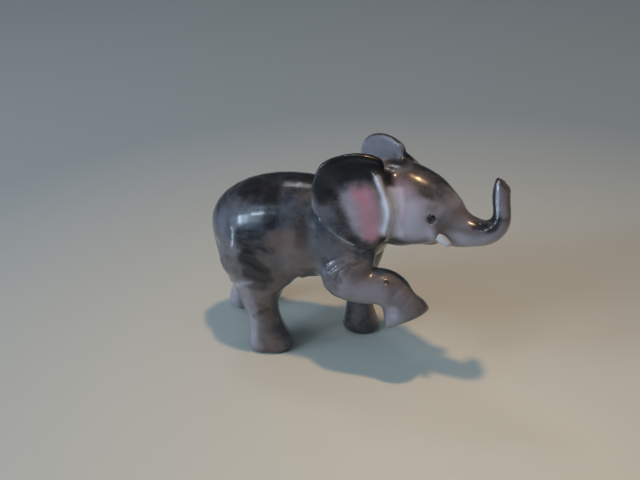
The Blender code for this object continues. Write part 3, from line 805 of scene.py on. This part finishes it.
# the back's edge, rump and belly
airbrush("torso", {
    "charcoal": [
        # painted shade: a dark line along the back's far edge, then one along the belly's lower edge
        (1.2, 0.75, (-22, 2, 34), (-18, 2.2, 35.9), (-13, 2, 36.8), (-7, 1.8, 37)),
        (0.55, 0.65, (-12.2, -6, 15), (-9.4, -5.5, 17.6), (-5.5, -5, 18), (-3, -6, 18.4))],
    "pearl": [(1.2, 0.2, (-26.2, -2.3, 31.3), (-24.6, -1.2, 32.9), (-22.3, 0.1, 34.4))],
    "umber": [
        (6, 0.5, (-20, 0, 17), (-8, 0, 16.5), (0, 0, 18)),
        (3.2, 0.7, (3, -4, 22), (7, 0, 24), (7, 4, 26))],
})
airbrush("torso right_hind_leg", {
    "charcoal": [
        (0.7, 0.55, (-26.6, -1.5, 31), (-27.9, -2.6, 28.6), (-28, -3.6, 26), (-27, -5.5, 23.5),
         (-25.8, -7.5, 21), (-24.3, -8.8, 18.5))],
})
airbrush("tail", {
    "pearl": [(1.4, 0.18, (-29.4, 0, 28), (-30.3, -0.6, 24), (-29, -2, 19), (-26, -4, 14.5))],
})
# both flanks
airbrush("torso", {
    "slate": [
        (3.6, 0.75, (-25.5, -4, 28.5), (-22, -7.4, 28.5), (-18, -7.6, 31), (-13, -7, 32.5)),
        (2.2, 0.45, (-11.3, -5.2, 35), (-9.3, -5.4, 34.8), (-7.6, -5.8, 34.4), (-9.7, -6.5, 33.8))],
    "charcoal": [
        (1.9, 0.72, (-21, -3, 34.3), (-18.6, -3.1, 35.1), (-15.8, -4, 35.3)),
        (2, 0.32, (-13.5, -4.6, 35.4), (-11.3, -5.2, 35), (-9.3, -5.4, 34.8)),
        (1.6, 0.3, (-20.6, -5.6, 32.6), (-19, -6.6, 32.2)),
        (1.6, 0.74, (-19.7, -4.8, 33.7), (-17, -5.2, 34.2), (-14.7, -5.3, 34.6)),
        (1.5, 0.68, *flankCrease),
        (1.4, 0.34, *ribShade),
        (2.2, 0.34, (-13.5, -7.9, 31.6), (-11, -8.1, 31.8), (-9, -7.6, 32.4))],
    "umber": [
        (2.6, 0.6, (-14.5, -9.3, 28.1), (-12.3, -8.7, 28.9), (-9.9, -8.7, 30.2), (-7.4, -8.2, 30.9)),
        (3.2, 0.62, (-12.6, -9.2, 27.3), (-10.5, -9.2, 27.1), (-8.4, -9.3, 26.2), (-7, -9.1, 23.3)),
        (1.3, 0.7, *flankCrease),
        (1.5, 0.7, *ribShade)],
    "blush": [(2.3, 0.07, (-12.8, -9.2, 27.1), (-10.5, -9.2, 26.8), (-8.8, -9.3, 27.2))],
}, bothSides=True)
airbrush("", {
    "slate": [
        (1.8, 0.34, (-24.6, -3, 32.2), (-25.9, -4.5, 29.9), (-26.4, -5.5, 27.1), (-26, -6.2, 24.4),
         (-24.7, -8.3, 22.5)),
        (1.8, 0.6, *haunchTop),
        (3.2, 0.6, (-5, -8.5, 33), (-4, -9.2, 29), (-2.5, -9.5, 25))],
    "pearl": [
        (1.4, 0.2, (-23.5, -2, 33.2), (-25.2, -3.2, 31)),
        (1.4, 0.1, (-25.2, -5.4, 29.4), (-25.6, -6.2, 26.8))],
    "charcoal": [
        (1.1, 0.45, *haunchTop),
        (1.2, 0.5, (-21.4, -8.8, 26.8), (-20.6, -9.3, 25.4)),
        (1.5, 0.34, (-22.3, -7.8, 27.2), (-19, -9, 27), (-16.4, -9.3, 27)),
        (1.1, 0.42, (-21.5, -8.6, 26.9), (-19.7, -9.3, 26.2), (-17.6, -9.8, 25.5), (-15.6, -9.9, 24.6)),
        (1.4, 0.22, (-26.9, -5.3, 26), (-25.9, -6.3, 23.5), (-24.6, -8.4, 22.2), (-23.8, -9.1, 19.5)),
        (2.2, 0.28, (-4.5, -8.2, 33), (-3, -9, 30.5))],
}, bothSides=True)
# the haunch and the leg that stand nearest in the picture, with pigment settled in their folds
airbrush("right_hind_leg torso", {
    "charcoal": [
        (1.6, 0.22, (-21.9, -10, 21.3), (-20.3, -10.4, 19.4)),
        # painted shade under the haunch's bulge
        (2.2, 0.78, (-18.6, -10.3, 22.4), (-17.4, -10.6, 20.6), (-16.8, -10.5, 19), (-16.6, -10.4, 17.8)),
        (1.1, 0.45, (-18.9, -10.2, 24.6), (-18, -10.3, 23.5)),
        (1.3, 0.6, (-18.8, -10.4, 23.2), (-17.9, -10.7, 22.4), (-17, -10.5, 21.4)),
        (1.2, 0.14, *thighFront),
        (1.3, 0.1, (-13.6, -6.9, 12), (-13, -7, 8), (-12.2, -7.2, 4), (-12, -7.4, 1.2)),
        (0.5, 0.45, (-18.3, -8.8, 8.3), (-16.9, -8.8, 9.4), (-15.6, -8.3, 10.2)),
        (0.7, 0.55, (-20.5, -6, 0.3), (-15.4, -10.6, 0.3), (-10.5, -6, 0.3), (-15.4, -2, 0.3))],
    "umber": [
        (1.8, 0.3, *thighFront),
        (1.3, 0.5, (-17.7, -9, 10.8), (-16.2, -8.6, 10.4), (-14.8, -7.6, 9)),
        (1.8, 0.38, (-15.4, -8.8, 12), (-15.4, -8.2, 8), (-15.2, -9.2, 2)),
        (1.4, 0.35, (-15.4, -10, 2.4), (-13.6, -9.4, 2.2))],
    "pearl": [
        # pale crest of the ankle fold, where the glaze runs thin, partly a painted highlight
        (0.8, 0.35, (-21.8, -8.7, 15), (-19.9, -9.9, 16.5), (-17.9, -10.6, 17.7)),
        # these two: painted light from the window down the leg's rear edge
        (1.4, 0.34, (-20, -9.4, 14.5), (-19, -8.8, 10), (-18.8, -8.5, 5), (-18.6, -8.6, 2)),
        (1.1, 0.22, (-18.9, -8.5, 7), (-18.4, -8.8, 3.6), (-17.3, -9.8, 1.7))],
})
foldDarks = (  # width and strength
    (0.85, 0.58), (1.05, 0.94), (0.85, 0.8), (0.9, 0.38),
)
for (width, strength), (_, _, *places) in zip(foldDarks, haunchRelief["folds"]):
    spray("charcoal", places, width, strength, "right_hind_leg torso")
# the same pale crest, partly a painted highlight
spray("milk", haunchRelief["ankle"][0][2:], 0.35, 0.22, "right_hind_leg torso")
# the lifted leg
airbrush("right_foreleg torso", {
    "pearl": [
        (2.4, 0.28, (-1.5, -11.5, 21.5), (1.6, -11.9, 20.3), (4.5, -11.8, 19.6), (7.4, -11.6, 20.2)),
        # painted reflection of the window on the heel
        (1.3, 0.35, *heelReflection),
        (2.2, 0.12, *wristTop),
        (1.8, 0.16, (12.4, -10.8, 20), (13.4, -10.8, 19)),
        (0.6, 0.12, (-1.7, -10, 24.4), (-0.3, -9.8, 25.2), (0.9, -9.5, 25.7))],
    "umber": [
        (2, 0.22, (6.5, -10.7, 22.3), (9.2, -11.2, 21.3), (11.4, -11.4, 19.7)),
        (1.8, 0.1, (4, -9, 24.5), (9, -9, 23.5), (13, -8.5, 20.5), (16, -8.2, 17.5))],
    "charcoal": [
        (0.9, 0.36, (4, -7, 26), (9, -7, 24.4), (13, -7, 21.5), (16.6, -7.6, 18.4)),
        (1, 0.12, (15.8, -9.6, 16.6), (17, -7.5, 16.4), (14.5, -11.5, 15.2)),
        (1.2, 0.45, (-2.4, -11.3, 21), (-1, -11.8, 20)),
        (0.9, 0.5, (-3, -9.7, 24.5), (-1.7, -10.9, 23.2), (0.1, -11.6, 22.2)),
        (0.42, 0.9, (9.3, -10.35, 22.45))],
    "slate": [
        (2.2, 0.22, *wristTop),
        # bluish part of the painted reflection on the heel
        (1.3, 0.4, *heelReflection)],
    # painted glint on the heel
    "milk": [(0.8, 0.16, (11.2, -11.8, 17.4), (11.2, -11.9, 16.4))],
})
for strength, (_, _, *places) in zip((0.5, 0.55, 0.5, 0.4), forelegRelief["elbow"]):
    spray("charcoal", places, 0.26, strength, "right_foreleg torso")
# the far legs, and the chest between the forelegs
airbrush("left_hind_leg", {
    "pearl": [(2.2, 0.6, (-29.8, 6, 8), (-29.5, 5, 4), (-29, 5, 1.5))],
    "slate": [(3, 0.5, (-25, 9, 10), (-25, 10, 3))],
})
airbrush("left_foreleg", {
    "charcoal": [
        (4, 0.26, (0.5, 2, 14), (0.5, 2.2, 8), (0.5, 2, 2)),
        (0.8, 0.55, (-1.9, 3.6, 6), (-2, 3.6, 3)),
        (1.8, 0.34, (-1.5, 2.5, 1.5), (0.5, 1.4, 1.2), (4.5, 3.6, 1.4))],
    "umber": [(1.8, 0.7, (4.4, 4.6, 8), (4.6, 4.6, 2))],
    "blush": [(1.2, 0.22, (3.7, 5.2, 3), (4.2, 5.3, 1))],
})
airbrush("torso right_foreleg", {
    "charcoal": [
        # painted shade on the shoulder under the ear
        (1.1, 0.35, (2.2, -8.8, 28.6), (2.9, -8.2, 27.4), (3.6, -8.7, 25.9)),
        (2, 0.12, (5.6, -5.5, 27.5), (6.5, -3, 26), (7.2, 2, 26))],
    "pearl": [(1.3, 0.25, (4.4, -7.5, 26.8), (5.6, -7.3, 25.9))],
    # painted shade on the chest behind the ear
    "umber": [(1.6, 0.25, (4.5, -8.5, 28.1), (5.5, -6.8, 26.4), (6.1, -6.1, 25.5))],
})
airbrush("left_foreleg torso", {
    "umber": [(2, 0.6, (4.3, 5.3, 17), (4.6, 5.6, 18.5), (5, 5, 22))],
})
# both sides of the head
airbrush("head", {
    "charcoal": [
        (2.3, 0.58, (8.4, -1.6, 43.4), (11, -2.6, 43.3), (14, -3.6, 42.3), (17.4, -4.5, 40.4)),
        (0.6, 0.35, (15.1, -3.9, 42.1), (16.7, -4.3, 41.3), (18, -5.1, 40.2)),
        (0.5, 0.25, (13.9, -6.5, 40.3), (16.2, -6.7, 39.6)),
        (1.4, 0.6, (7.2, -2.4, 43.4), (8.8, -2.2, 43.6)),
        (1.5, 0.18, (9.8, -6.2, 40.9), (11.6, -6.9, 40)),
        (0.7, 0.32, (10.5, -5.6, 30.8), (14, -5.8, 30.4), (17.5, -6, 30.6))],
    "umber": [(2.2, 0.54, (9, -4.6, 43), (13.2, -5.5, 41.4), (16.6, -6.3, 39.4))],
    "pearl": [
        (1.2, 0.22, (14.6, -1.5, 42.4), (16.2, -2.6, 41.8), (17.8, -3.2, 40.9)),
        (2.9, 0.85, (10.2, -7.6, 38.6), (12.4, -8.3, 36.4), (13, -8.2, 34.4)),
        (1.9, 0.6, (12, -8, 32), (15.5, -7.8, 33)),
        (1.4, 0.35, (15, -7.4, 38), (16.8, -7.4, 37.6))],
    "blush": [
        (1.6, 0.22, (9.6, -5.9, 41.3), (11.4, -6.8, 40.4)),
        (1.2, 0.26, (10.2, -7.2, 39.6), (10.6, -8.3, 36.6), (10.4, -8.5, 33.6))],
    # painted light in the hollow beside the ear's root, against the shade there
    "milk": [
        (1, 0.34, (9.9, -6.9, 39.8), (10.2, -7.8, 38), (10, -8.5, 36)),
        (1, 0.55, (9.8, -8.8, 34.4), (10.1, -8.5, 33.4), (10.5, -8.2, 32.2))],
}, bothSides=True, head=True)
# pale at the ears' roots on the crown, partly a painted highlight
airbrush("head left_ear", {
    "pearl": [(1.4, 0.4, (6.8, -0.5, 43.2), (8.5, 0.6, 43.1), (11, -1.4, 43.3))],
}, bothSides=True, head=True)
airbrush("head trunk", {
    "pearl": [
        (1.6, 0.35, (18.6, -4.3, 40.2), (20.2, -4.6, 38.9)),
        (2, 0.3, (17.6, -5.1, 40.6), (19.4, -6.2, 38.3), (21.4, -5.9, 35.9)),
        (1.3, 0.3, (19.6, -7.3, 32.5), (21, -7, 32.2), (22.9, -7.2, 32.2))],
    "umber": [
        (1.1, 0.6, (17.4, -8.1, 34.8), (18.5, -7.9, 34.4), (19.6, -7.4, 33.9)),
        (1.5, 0.2, (17.7, -7, 38.5), (19.6, -6.7, 37.3), (21.4, -5.9, 35.9))],
}, bothSides=True, head=True)
airbrush("head right_ear", {
    "umber": [(1, 0.6, (7.6, -5.2, 42.5), (8.3, -6.4, 41.1))],
    "charcoal": [(1, 0.4, (7.4, -4.7, 42.6), (8.2, -6.1, 41.4))],
}, bothSides=True, head=True)
# the trunk
airbrush("trunk head", {
    "umber": [
        (1.6, 0.22, (20.6, -5.8, 36.4), (23.4, -6.2, 35.2), (26, -6.6, 34.8)),
        (0.9, 0.25, (28.4, -4.3, 40.9), (28.7, -5.1, 39.2), (29.2, -5.7, 37.7))],
    "charcoal": [
        (0.9, 0.35, (22.5, -4.4, 36), (25, -4.8, 34.9), (26.6, -5, 35.8)),
        (0.85, 0.85, (24.4, -6.3, 35.1), (25.9, -6.7, 35), (26.8, -7, 35.1), (27.7, -6.9, 35.6),
         (27.8, -6.3, 36.7)),
        (1.05, 0.94, (26.7, -2.3, 42.6), (26.5, -2.9, 41.3), (26.5, -3.7, 39.6), (26.8, -4.5, 37.9),
         (27.2, -5.4, 36.6)),
        (0.8, 0.6, (28.1, -2.4, 43), (28.9, -2.7, 42.2))],
    "slate": [
        (1, 0.5, (24.6, -6.3, 35.1), (25.9, -6.7, 35), (26.8, -7, 35.1), (27.7, -6.9, 35.6),
         (27.8, -6.3, 36.7)),
        (1.15, 0.8, (27.5, -3.3, 42.2), (27.9, -4.3, 40.6), (28, -5.1, 38.8), (28.3, -6, 37.2))],
    "pearl": [
        (0.7, 0.34, (28.2, -3.1, 42), (28.6, -4.4, 40.7), (28.8, -5.1, 39.1), (29.2, -5.7, 37.7)),
        (1.6, 0.5, (20.5, -6.8, 31.6), (24, -7, 31.2), (27.5, -7, 32.6), (29.3, -6.4, 34.6))],
    # painted highlight streak down the trunk's upright
    "milk": [(0.24, 0.5, (27.3, -2.8, 42.6), (27.5, -4, 41.2), (27.6, -4.8, 39.7), (27.9, -5.5, 38.1))],
})

# The front face of each ear: pigment, width, strength, core of the spray and places
earStrokes = (
    ("pearl", 3, 0.5, 0.2, (0.1, -7.5, 39.1), (1.7, -8.1, 36.7), (2.7, -8.4, 33.8), (3.4, -8.5, 31.4)),
    ("blush", 2.3, 0.86, 0.1, (3.5, -7.8, 38.8), (4.6, -8.5, 36.7), (5.3, -8.7, 33.9), (5.8, -8.7, 31)),
    ("charcoal", 2.9, 0.97, 0.5, (6.9, -5, 43.3), (6, -5.3, 43.4), (3, -6.2, 43.2), (-0.5, -7.2, 42.6),
     (-3.4, -7.6, 40)),
    ("charcoal", 1.2, 0.9, 0.5, (-5, -6.8, 41.5), (-3, -6, 43.9), (-0.5, -5.7, 45.2), (2.4, -5.7, 45.4),
     (5.2, -5.4, 44.6), (6.6, -5, 43.6)),
    ("charcoal", 1.4, 0.92, 0.4, (-5.4, -7.2, 40.2), (-4.5, -7.8, 38.1), (-4.1, -8, 37.2)),
    ("pearl", 1.6, 0.22, 0.4, (-4.9, -8.2, 35.4), (-3.4, -8.5, 34.1)),
    ("slate", 1.7, 0.62, 0.4, (-4.9, -8.2, 35.4), (-3.4, -8.5, 34.1), (-1.8, -8.7, 32.4), (0.1, -9, 30.2)),
    ("charcoal", 1.25, 0.76, 0.2, (-2.2, -7.8, 37.7), (-1.4, -8, 36.1), (-0.5, -8.4, 34.3),
     (0.8, -8.7, 31.9), (2, -8.7, 29.6)),
    ("charcoal", 1.2, 0.88, 0.3, (2, -8.7, 29.6), (3.9, -8.6, 28.8), (6.1, -8.2, 28.6), (8.1, -8.6, 30.5)),
    ("pearl", 1.2, 0.6, 0.4, (8.6, -9.2, 37.5), (8.4, -9.4, 34.6), (7.6, -9.1, 32.2)),
    # painted highlight along the ear's sharp front fold, in a broader pale band
    ("milk", 0.55, 0.7, 0.2, (6, -7, 42.3), (6.7, -7.7, 41.3), (7.5, -8.5, 40.1), (8.3, -9.1, 38.7),
     (8.8, -9.4, 37.8), (9.2, -9.5, 36.9), (9.4, -9.2, 35.5)),
    ("milk", 1.1, 0.55, 0.3, (8.3, -9.1, 38.7), (8.8, -9.4, 37.8), (9.2, -9.5, 36.9), (9.3, -9.3, 35),
     (8.6, -9.6, 33)),
    # painted highlight on the upper rim
    ("milk", 0.4, 0.7, 0.4, (-5.3, -7.4, 41.8), (-5.25, -7.2, 42.2)),
    ("charcoal", 1.3, 0.35, 0.3, (-2.4, -8.6, 33), (-0.6, -8.9, 31)),
    # painted highlight along the lower rim
    ("milk", 0.22, 0.35, 0.5, (-5.2, -8, 34.5), (-3.6, -8.4, 32.4), (-1.6, -8.8, 30.6), (0.6, -9, 29.2),
     (2.2, -8.9, 28.5)),
)
earRim = ((-3.6, -6.2, 43.4), (-0.5, -5.7, 45.2), (2.4, -5.7, 45.4), (5.2, -5.4, 44.6), (6.8, -5.0, 43.0))
earBack = {"middle": (2.5, -8.5, 35.5), "width": 11.0, "coats": (("pearl", 0.50), ("slate", 0.25))}
for onEar, node, front in ((nearEar, "right_ear", (0, -1, 0.15)), (farEar, "left_ear", (0, 1, 0.15))):
    for coat, strength in earBack["coats"]:
        spray(coat, [onEar(earBack["middle"])], earBack["width"], strength, node, -np.array(front), core=0.8)
    for coat, width, strength, core, *places in earStrokes:
        spray(coat, [onEar(place) for place in places], width, strength, node, front, core)
    spray("charcoal", [onEar(place) for place in earRim], 0.8, 0.85)
# painted light in the crease where the near ear meets the head, against the shade there, and the far ear's
# dark edge
airbrush("", {
    "milk": [
        (0.9, 0.48, (8.7, -7.3, 40), (8.8, -7.6, 39.5), (9.4, -8.4, 37.9), (9.6, -8.9, 36.2),
         (9.7, -8.8, 34.1), (9.4, -8, 31.5))],
})
airbrush("left_ear", {
    "charcoal": [(0.5, 0.55, (3.6, 5.6, 45.4), (6.1, 3.8, 45.6), (8, 2.3, 44.8), (9.4, 2.4, 42.9))],
})
print("skin: painted")

# Where the glaze runs thin: sharp convex edges, such as the ear rims
thinEdges = {"passes": 4, "from": 0.055, "over": 0.10, "most": 0.75, "hidden": 0.8}
crest = ((points - neighbourMean(points, edges, degree)) * normals).sum(1)
crest = spreadOut(crest, thinEdges["passes"])
thinGlaze = smoothStep((crest / voxel - thinEdges["from"]) / thinEdges["over"]) * thinEdges["most"]
coats["thinGlaze"] = thinGlaze * (1 - thinEdges["hidden"] * coats["charcoal"])


# One closed piece for each CAD node
def faceOwners():
    total = sum(distances[quads[:, corner]] for corner in range(4))
    owner = np.argmin(total, axis=1)
    # faces that share an edge, so that stray islands join what is round them
    key = {}
    pairs = []
    for face, corners in enumerate(quads.tolist()):
        for a, b in zip(corners, corners[1:] + corners[:1]):
            edge = (a, b) if a < b else (b, a)
            other = key.pop(edge, None)
            if other is None:
                key[edge] = face
            else:
                pairs.append((face, other))
    pairs = np.array(pairs)
    for _ in range(8):
        votes = np.zeros((len(quads), len(nodeNames)))
        np.add.at(votes, (pairs[:, 0], owner[pairs[:, 1]]), 1)
        np.add.at(votes, (pairs[:, 1], owner[pairs[:, 0]]), 1)
        top = votes.argmax(1)
        switch = (votes[np.arange(len(quads)), top] >= 3) & (top != owner)
        if not switch.any():
            break
        owner = np.where(switch, top, owner)
    return owner


def closedPiece(pieceName, faces):
    used, inverse = np.unique(faces, return_inverse=True)
    faces = inverse.reshape(-1, 4)
    form = bmesh.new()
    for place in points[used] * mm:
        form.verts.new(place)
    form.verts.ensure_lookup_table()
    for a, b, c, d in faces.tolist():
        form.faces.new((form.verts[a], form.verts[b], form.verts[c], form.verts[d]))
    # a cap runs round its rim against the faces there, so that it faces outwards as they do
    rim = {}
    for edge in form.edges:
        if len(edge.link_loops) == 1:
            rim.setdefault(edge.link_loops[0].link_loop_next.vert, []).append(edge.link_loops[0].vert)
    while rim:
        first = next(iter(rim))
        loop = [first]
        while True:
            after = rim[loop[-1]].pop()
            if not rim[loop[-1]]:
                del rim[loop[-1]]
            loop.append(after)
            if after is first or after not in rim:
                break
        if loop[-1] is not loop[0]:
            continue
        loop = loop[:-1]
        centre = form.verts.new(sum((v.co for v in loop), Vector()) / len(loop))
        for a, b in zip(loop, loop[1:] + loop[:1]):
            form.faces.new((a, b, centre))
    for face in form.faces:
        face.smooth = True
    data = meshFrom(form, pieceName)
    capNormals = [(0.0, 0.0, 0.0)] * (len(data.vertices) - len(used))
    for coat, values in coats.items():
        layer = data.attributes.new(coat, "FLOAT", "POINT")
        layer.data.foreach_set("value", np.concatenate([values[used], np.zeros(len(capNormals))]))
    data.normals_split_custom_set_from_vertices([tuple(n) for n in normals[used]] + capNormals)
    data.materials.append(paintedGlaze)
    return newObject(pieceName, data)


owner = faceOwners()
for index, name in enumerate(nodeNames):
    words = name.split("_")
    pieceName = words[0] + "".join(word.capitalize() for word in words[1:]) + "Glazed"
    piece = closedPiece(pieceName, quads[owner == index])
    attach(piece, "root")
    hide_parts(name)
bpy.data.meshes.remove(skinMesh)
print("skin: split into %d pieces" % len(nodeNames))

# Tusks and eyes
tuskSizes = {"voxel": 0.11, "swell": 0.02, "passes": 14, "factors": (0.60, -0.63)}


def makeTusk(side):
    data = remeshed([side + "_tusk"], tuskSizes["swell"], tuskSizes["voxel"])
    places, sides, faces = meshArrays(data)
    count = np.bincount(sides.ravel(), minlength=len(places)).astype(float)
    for _ in range(tuskSizes["passes"]):
        for factor in tuskSizes["factors"]:
            places = places + (neighbourMean(places, sides, count) - places) * factor
    data.vertices.foreach_set("co", (places * mm).ravel())
    data.name = side + "TuskGlazed"
    data.materials.clear()
    data.materials.append(tuskGlaze)
    data.shade_smooth()
    piece = newObject(side + "TuskGlazed", data)
    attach(piece, "root")
    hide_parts(side + "_tusk")


eyeSizes = {"radius": 0.68, "flat": 0.78, "sink": 0.14, "lift": 0.22}


def makeEye(side):
    low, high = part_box(side + "_eye")
    middle = (low + high) / 2 / mm + Vector((0, 0, eyeSizes["lift"]))
    ground, outward, _, _ = surfaceTree.find_nearest(middle)
    centre = (ground - outward * eyeSizes["sink"]) * mm
    form = bmesh.new()
    bmesh.ops.create_uvsphere(form, u_segments=32, v_segments=20, radius=eyeSizes["radius"] * mm)
    turn = outward.to_track_quat("Z", "Y").to_matrix()
    for vertex in form.verts:
        vertex.co.z *= eyeSizes["flat"]
        vertex.co = turn @ vertex.co + centre
    data = meshFrom(form, side + "EyeDot")
    data.materials.append(eyeEnamel)
    data.shade_smooth()
    piece = newObject(side + "EyeDot", data)
    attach(piece, "root")
    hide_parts(side + "_eye")


for side in ("right", "left"):
    makeTusk(side)
    makeEye(side)
print("head: tusks and eyes made")

# Table and studio light
tableSizes = {
    "half": 1.6,
    "paintedPoolCentre": (0.035, -0.030, 0.0),  # m, the middle of the painted pool of lamplight on the table
    # near and far: the table is painted lighter round the lamp and darker further out, a painted falloff of
    # its light
    "near": (0.615, 0.60, 0.535),
    "far": (0.272, 0.325, 0.370),
    "reach": (0.020, 0.165),
    "mottle": (0.30, 0.29, 0.28),
    "mottleScale": 35.0,
    "mottleShare": 0.05,
    "roughness": 0.9,
    "specular": 0.1,
}


def makeTable():
    material = bpy.data.materials.new("paleTable")
    tree, shader = newTree(material)
    place = addNode(tree, "ShaderNodeTexCoord").outputs["Object"]
    apart = tree.nodes.new("ShaderNodeVectorMath")
    apart.operation = "DISTANCE"
    apart.inputs[1].default_value = tableSizes["paintedPoolCentre"]
    tree.links.new(place, apart.inputs[0])
    closest, farthest = tableSizes["reach"]
    fade = addNode(tree, "ShaderNodeMapRange", {
        "Value": apart.outputs["Value"], "From Min": closest, "From Max": farthest})
    noise = addNode(tree, "ShaderNodeTexNoise", {
        "Vector": place, "Scale": tableSizes["mottleScale"], "Detail": 4.0})
    # painted falloff of the lamplight from the near colour to the far
    colour = mixColour(tree, fade.outputs["Result"], tableSizes["near"], tableSizes["far"])
    mottle = mathNode(tree, "MULTIPLY", noise.outputs["Fac"], tableSizes["mottleShare"])
    tree.links.new(mixColour(tree, mottle, colour, tableSizes["mottle"]), shader.inputs["Base Color"])
    shader.inputs["Roughness"].default_value = tableSizes["roughness"]
    shader.inputs["Specular IOR Level"].default_value = tableSizes["specular"]
    form = bmesh.new()
    bmesh.ops.create_grid(form, x_segments=8, y_segments=8, size=tableSizes["half"])
    data = meshFrom(form, "paleTable")
    data.materials.append(material)
    table = newObject("paleTable", data)


def addLight(name, place, aim, size, glow, tint, mirrored=True, shape="RECTANGLE"):
    width, height = size
    data = bpy.data.lights.new(name, "AREA")
    data.shape = shape
    data.size, data.size_y = width * mm, height * mm
    data.energy = glow * math.pi * width * height * mm * mm
    data.color = tint
    light = newObject(name, data)
    light.location = Vector(place) * mm
    light.rotation_euler = (Vector(place) - Vector(aim)).to_track_quat("Z", "Y").to_euler()
    light.visible_glossy = mirrored


def fromFigure(azimuth, elevation, distance):
    a, e = math.radians(azimuth), math.radians(elevation)
    middle = Vector(lightSizes["middle"])
    return middle + distance * Vector((math.sin(a) * math.cos(e), -math.cos(a) * math.cos(e), math.sin(e)))


# Glow is the brightness of each light's face; angles are degrees round from the front, then up
lightSizes = {
    "middle": (0, 0, 22),
    "lampPlace": (60, -30, 600),
    "lampSize": (36, 36),
    "lampGlow": 375.0,
    "lampTint": (1.0, 0.64, 0.34),
    "windowAngles": (-50, 24),
    "windowDistance": 520,
    "windowSize": (420, 400),
    "windowGlow": 2.3,
    "panes": ((-43.5, 28, (68, 80)), (-56, 16.5, (96, 66)), (-63.5, 1.5, (48, 44))),
    "paneGlow": 21.0,
    "paneDistance": 0.98,  # of the window's distance
    "windowTint": (0.64, 0.82, 1.0),
    "backAngles": (-138, 62),
    "backDistance": 420,
    "backSize": (80, 26),
    "backGlow": 16.0,
    "backTint": (0.94, 0.96, 1.0),
    "room": (0.135, 0.187, 0.218),
    "mirroredRoom": (0.030, 0.036, 0.042),
}


def setLight():
    sizes = lightSizes
    world = bpy.data.worlds.new("softRoom")
    world.use_nodes = True
    tree = world.node_tree
    ray = tree.nodes.new("ShaderNodeLightPath")
    colour = mixColour(tree, ray.outputs["Is Glossy Ray"], sizes["room"], sizes["mirroredRoom"])
    tree.links.new(colour, tree.nodes["Background"].inputs["Color"])
    bpy.context.scene.world = world
    middle = sizes["middle"]
    addLight("lamp", sizes["lampPlace"], middle, sizes["lampSize"], sizes["lampGlow"], sizes["lampTint"])
    far = sizes["windowDistance"]
    addLight("window", fromFigure(*sizes["windowAngles"], far), middle, sizes["windowSize"],
             sizes["windowGlow"], sizes["windowTint"], mirrored=False)
    for count, (azimuth, elevation, size) in enumerate(sizes["panes"]):
        addLight("pane%d" % count, fromFigure(azimuth, elevation, far * sizes["paneDistance"]), middle,
                 size, sizes["paneGlow"], sizes["windowTint"], shape="ELLIPSE")
    addLight("backWindow", fromFigure(*sizes["backAngles"], sizes["backDistance"]), middle,
             sizes["backSize"], sizes["backGlow"], sizes["backTint"])


makeTable()
setCamera()
setLight()
print("stage: table, camera and light set")
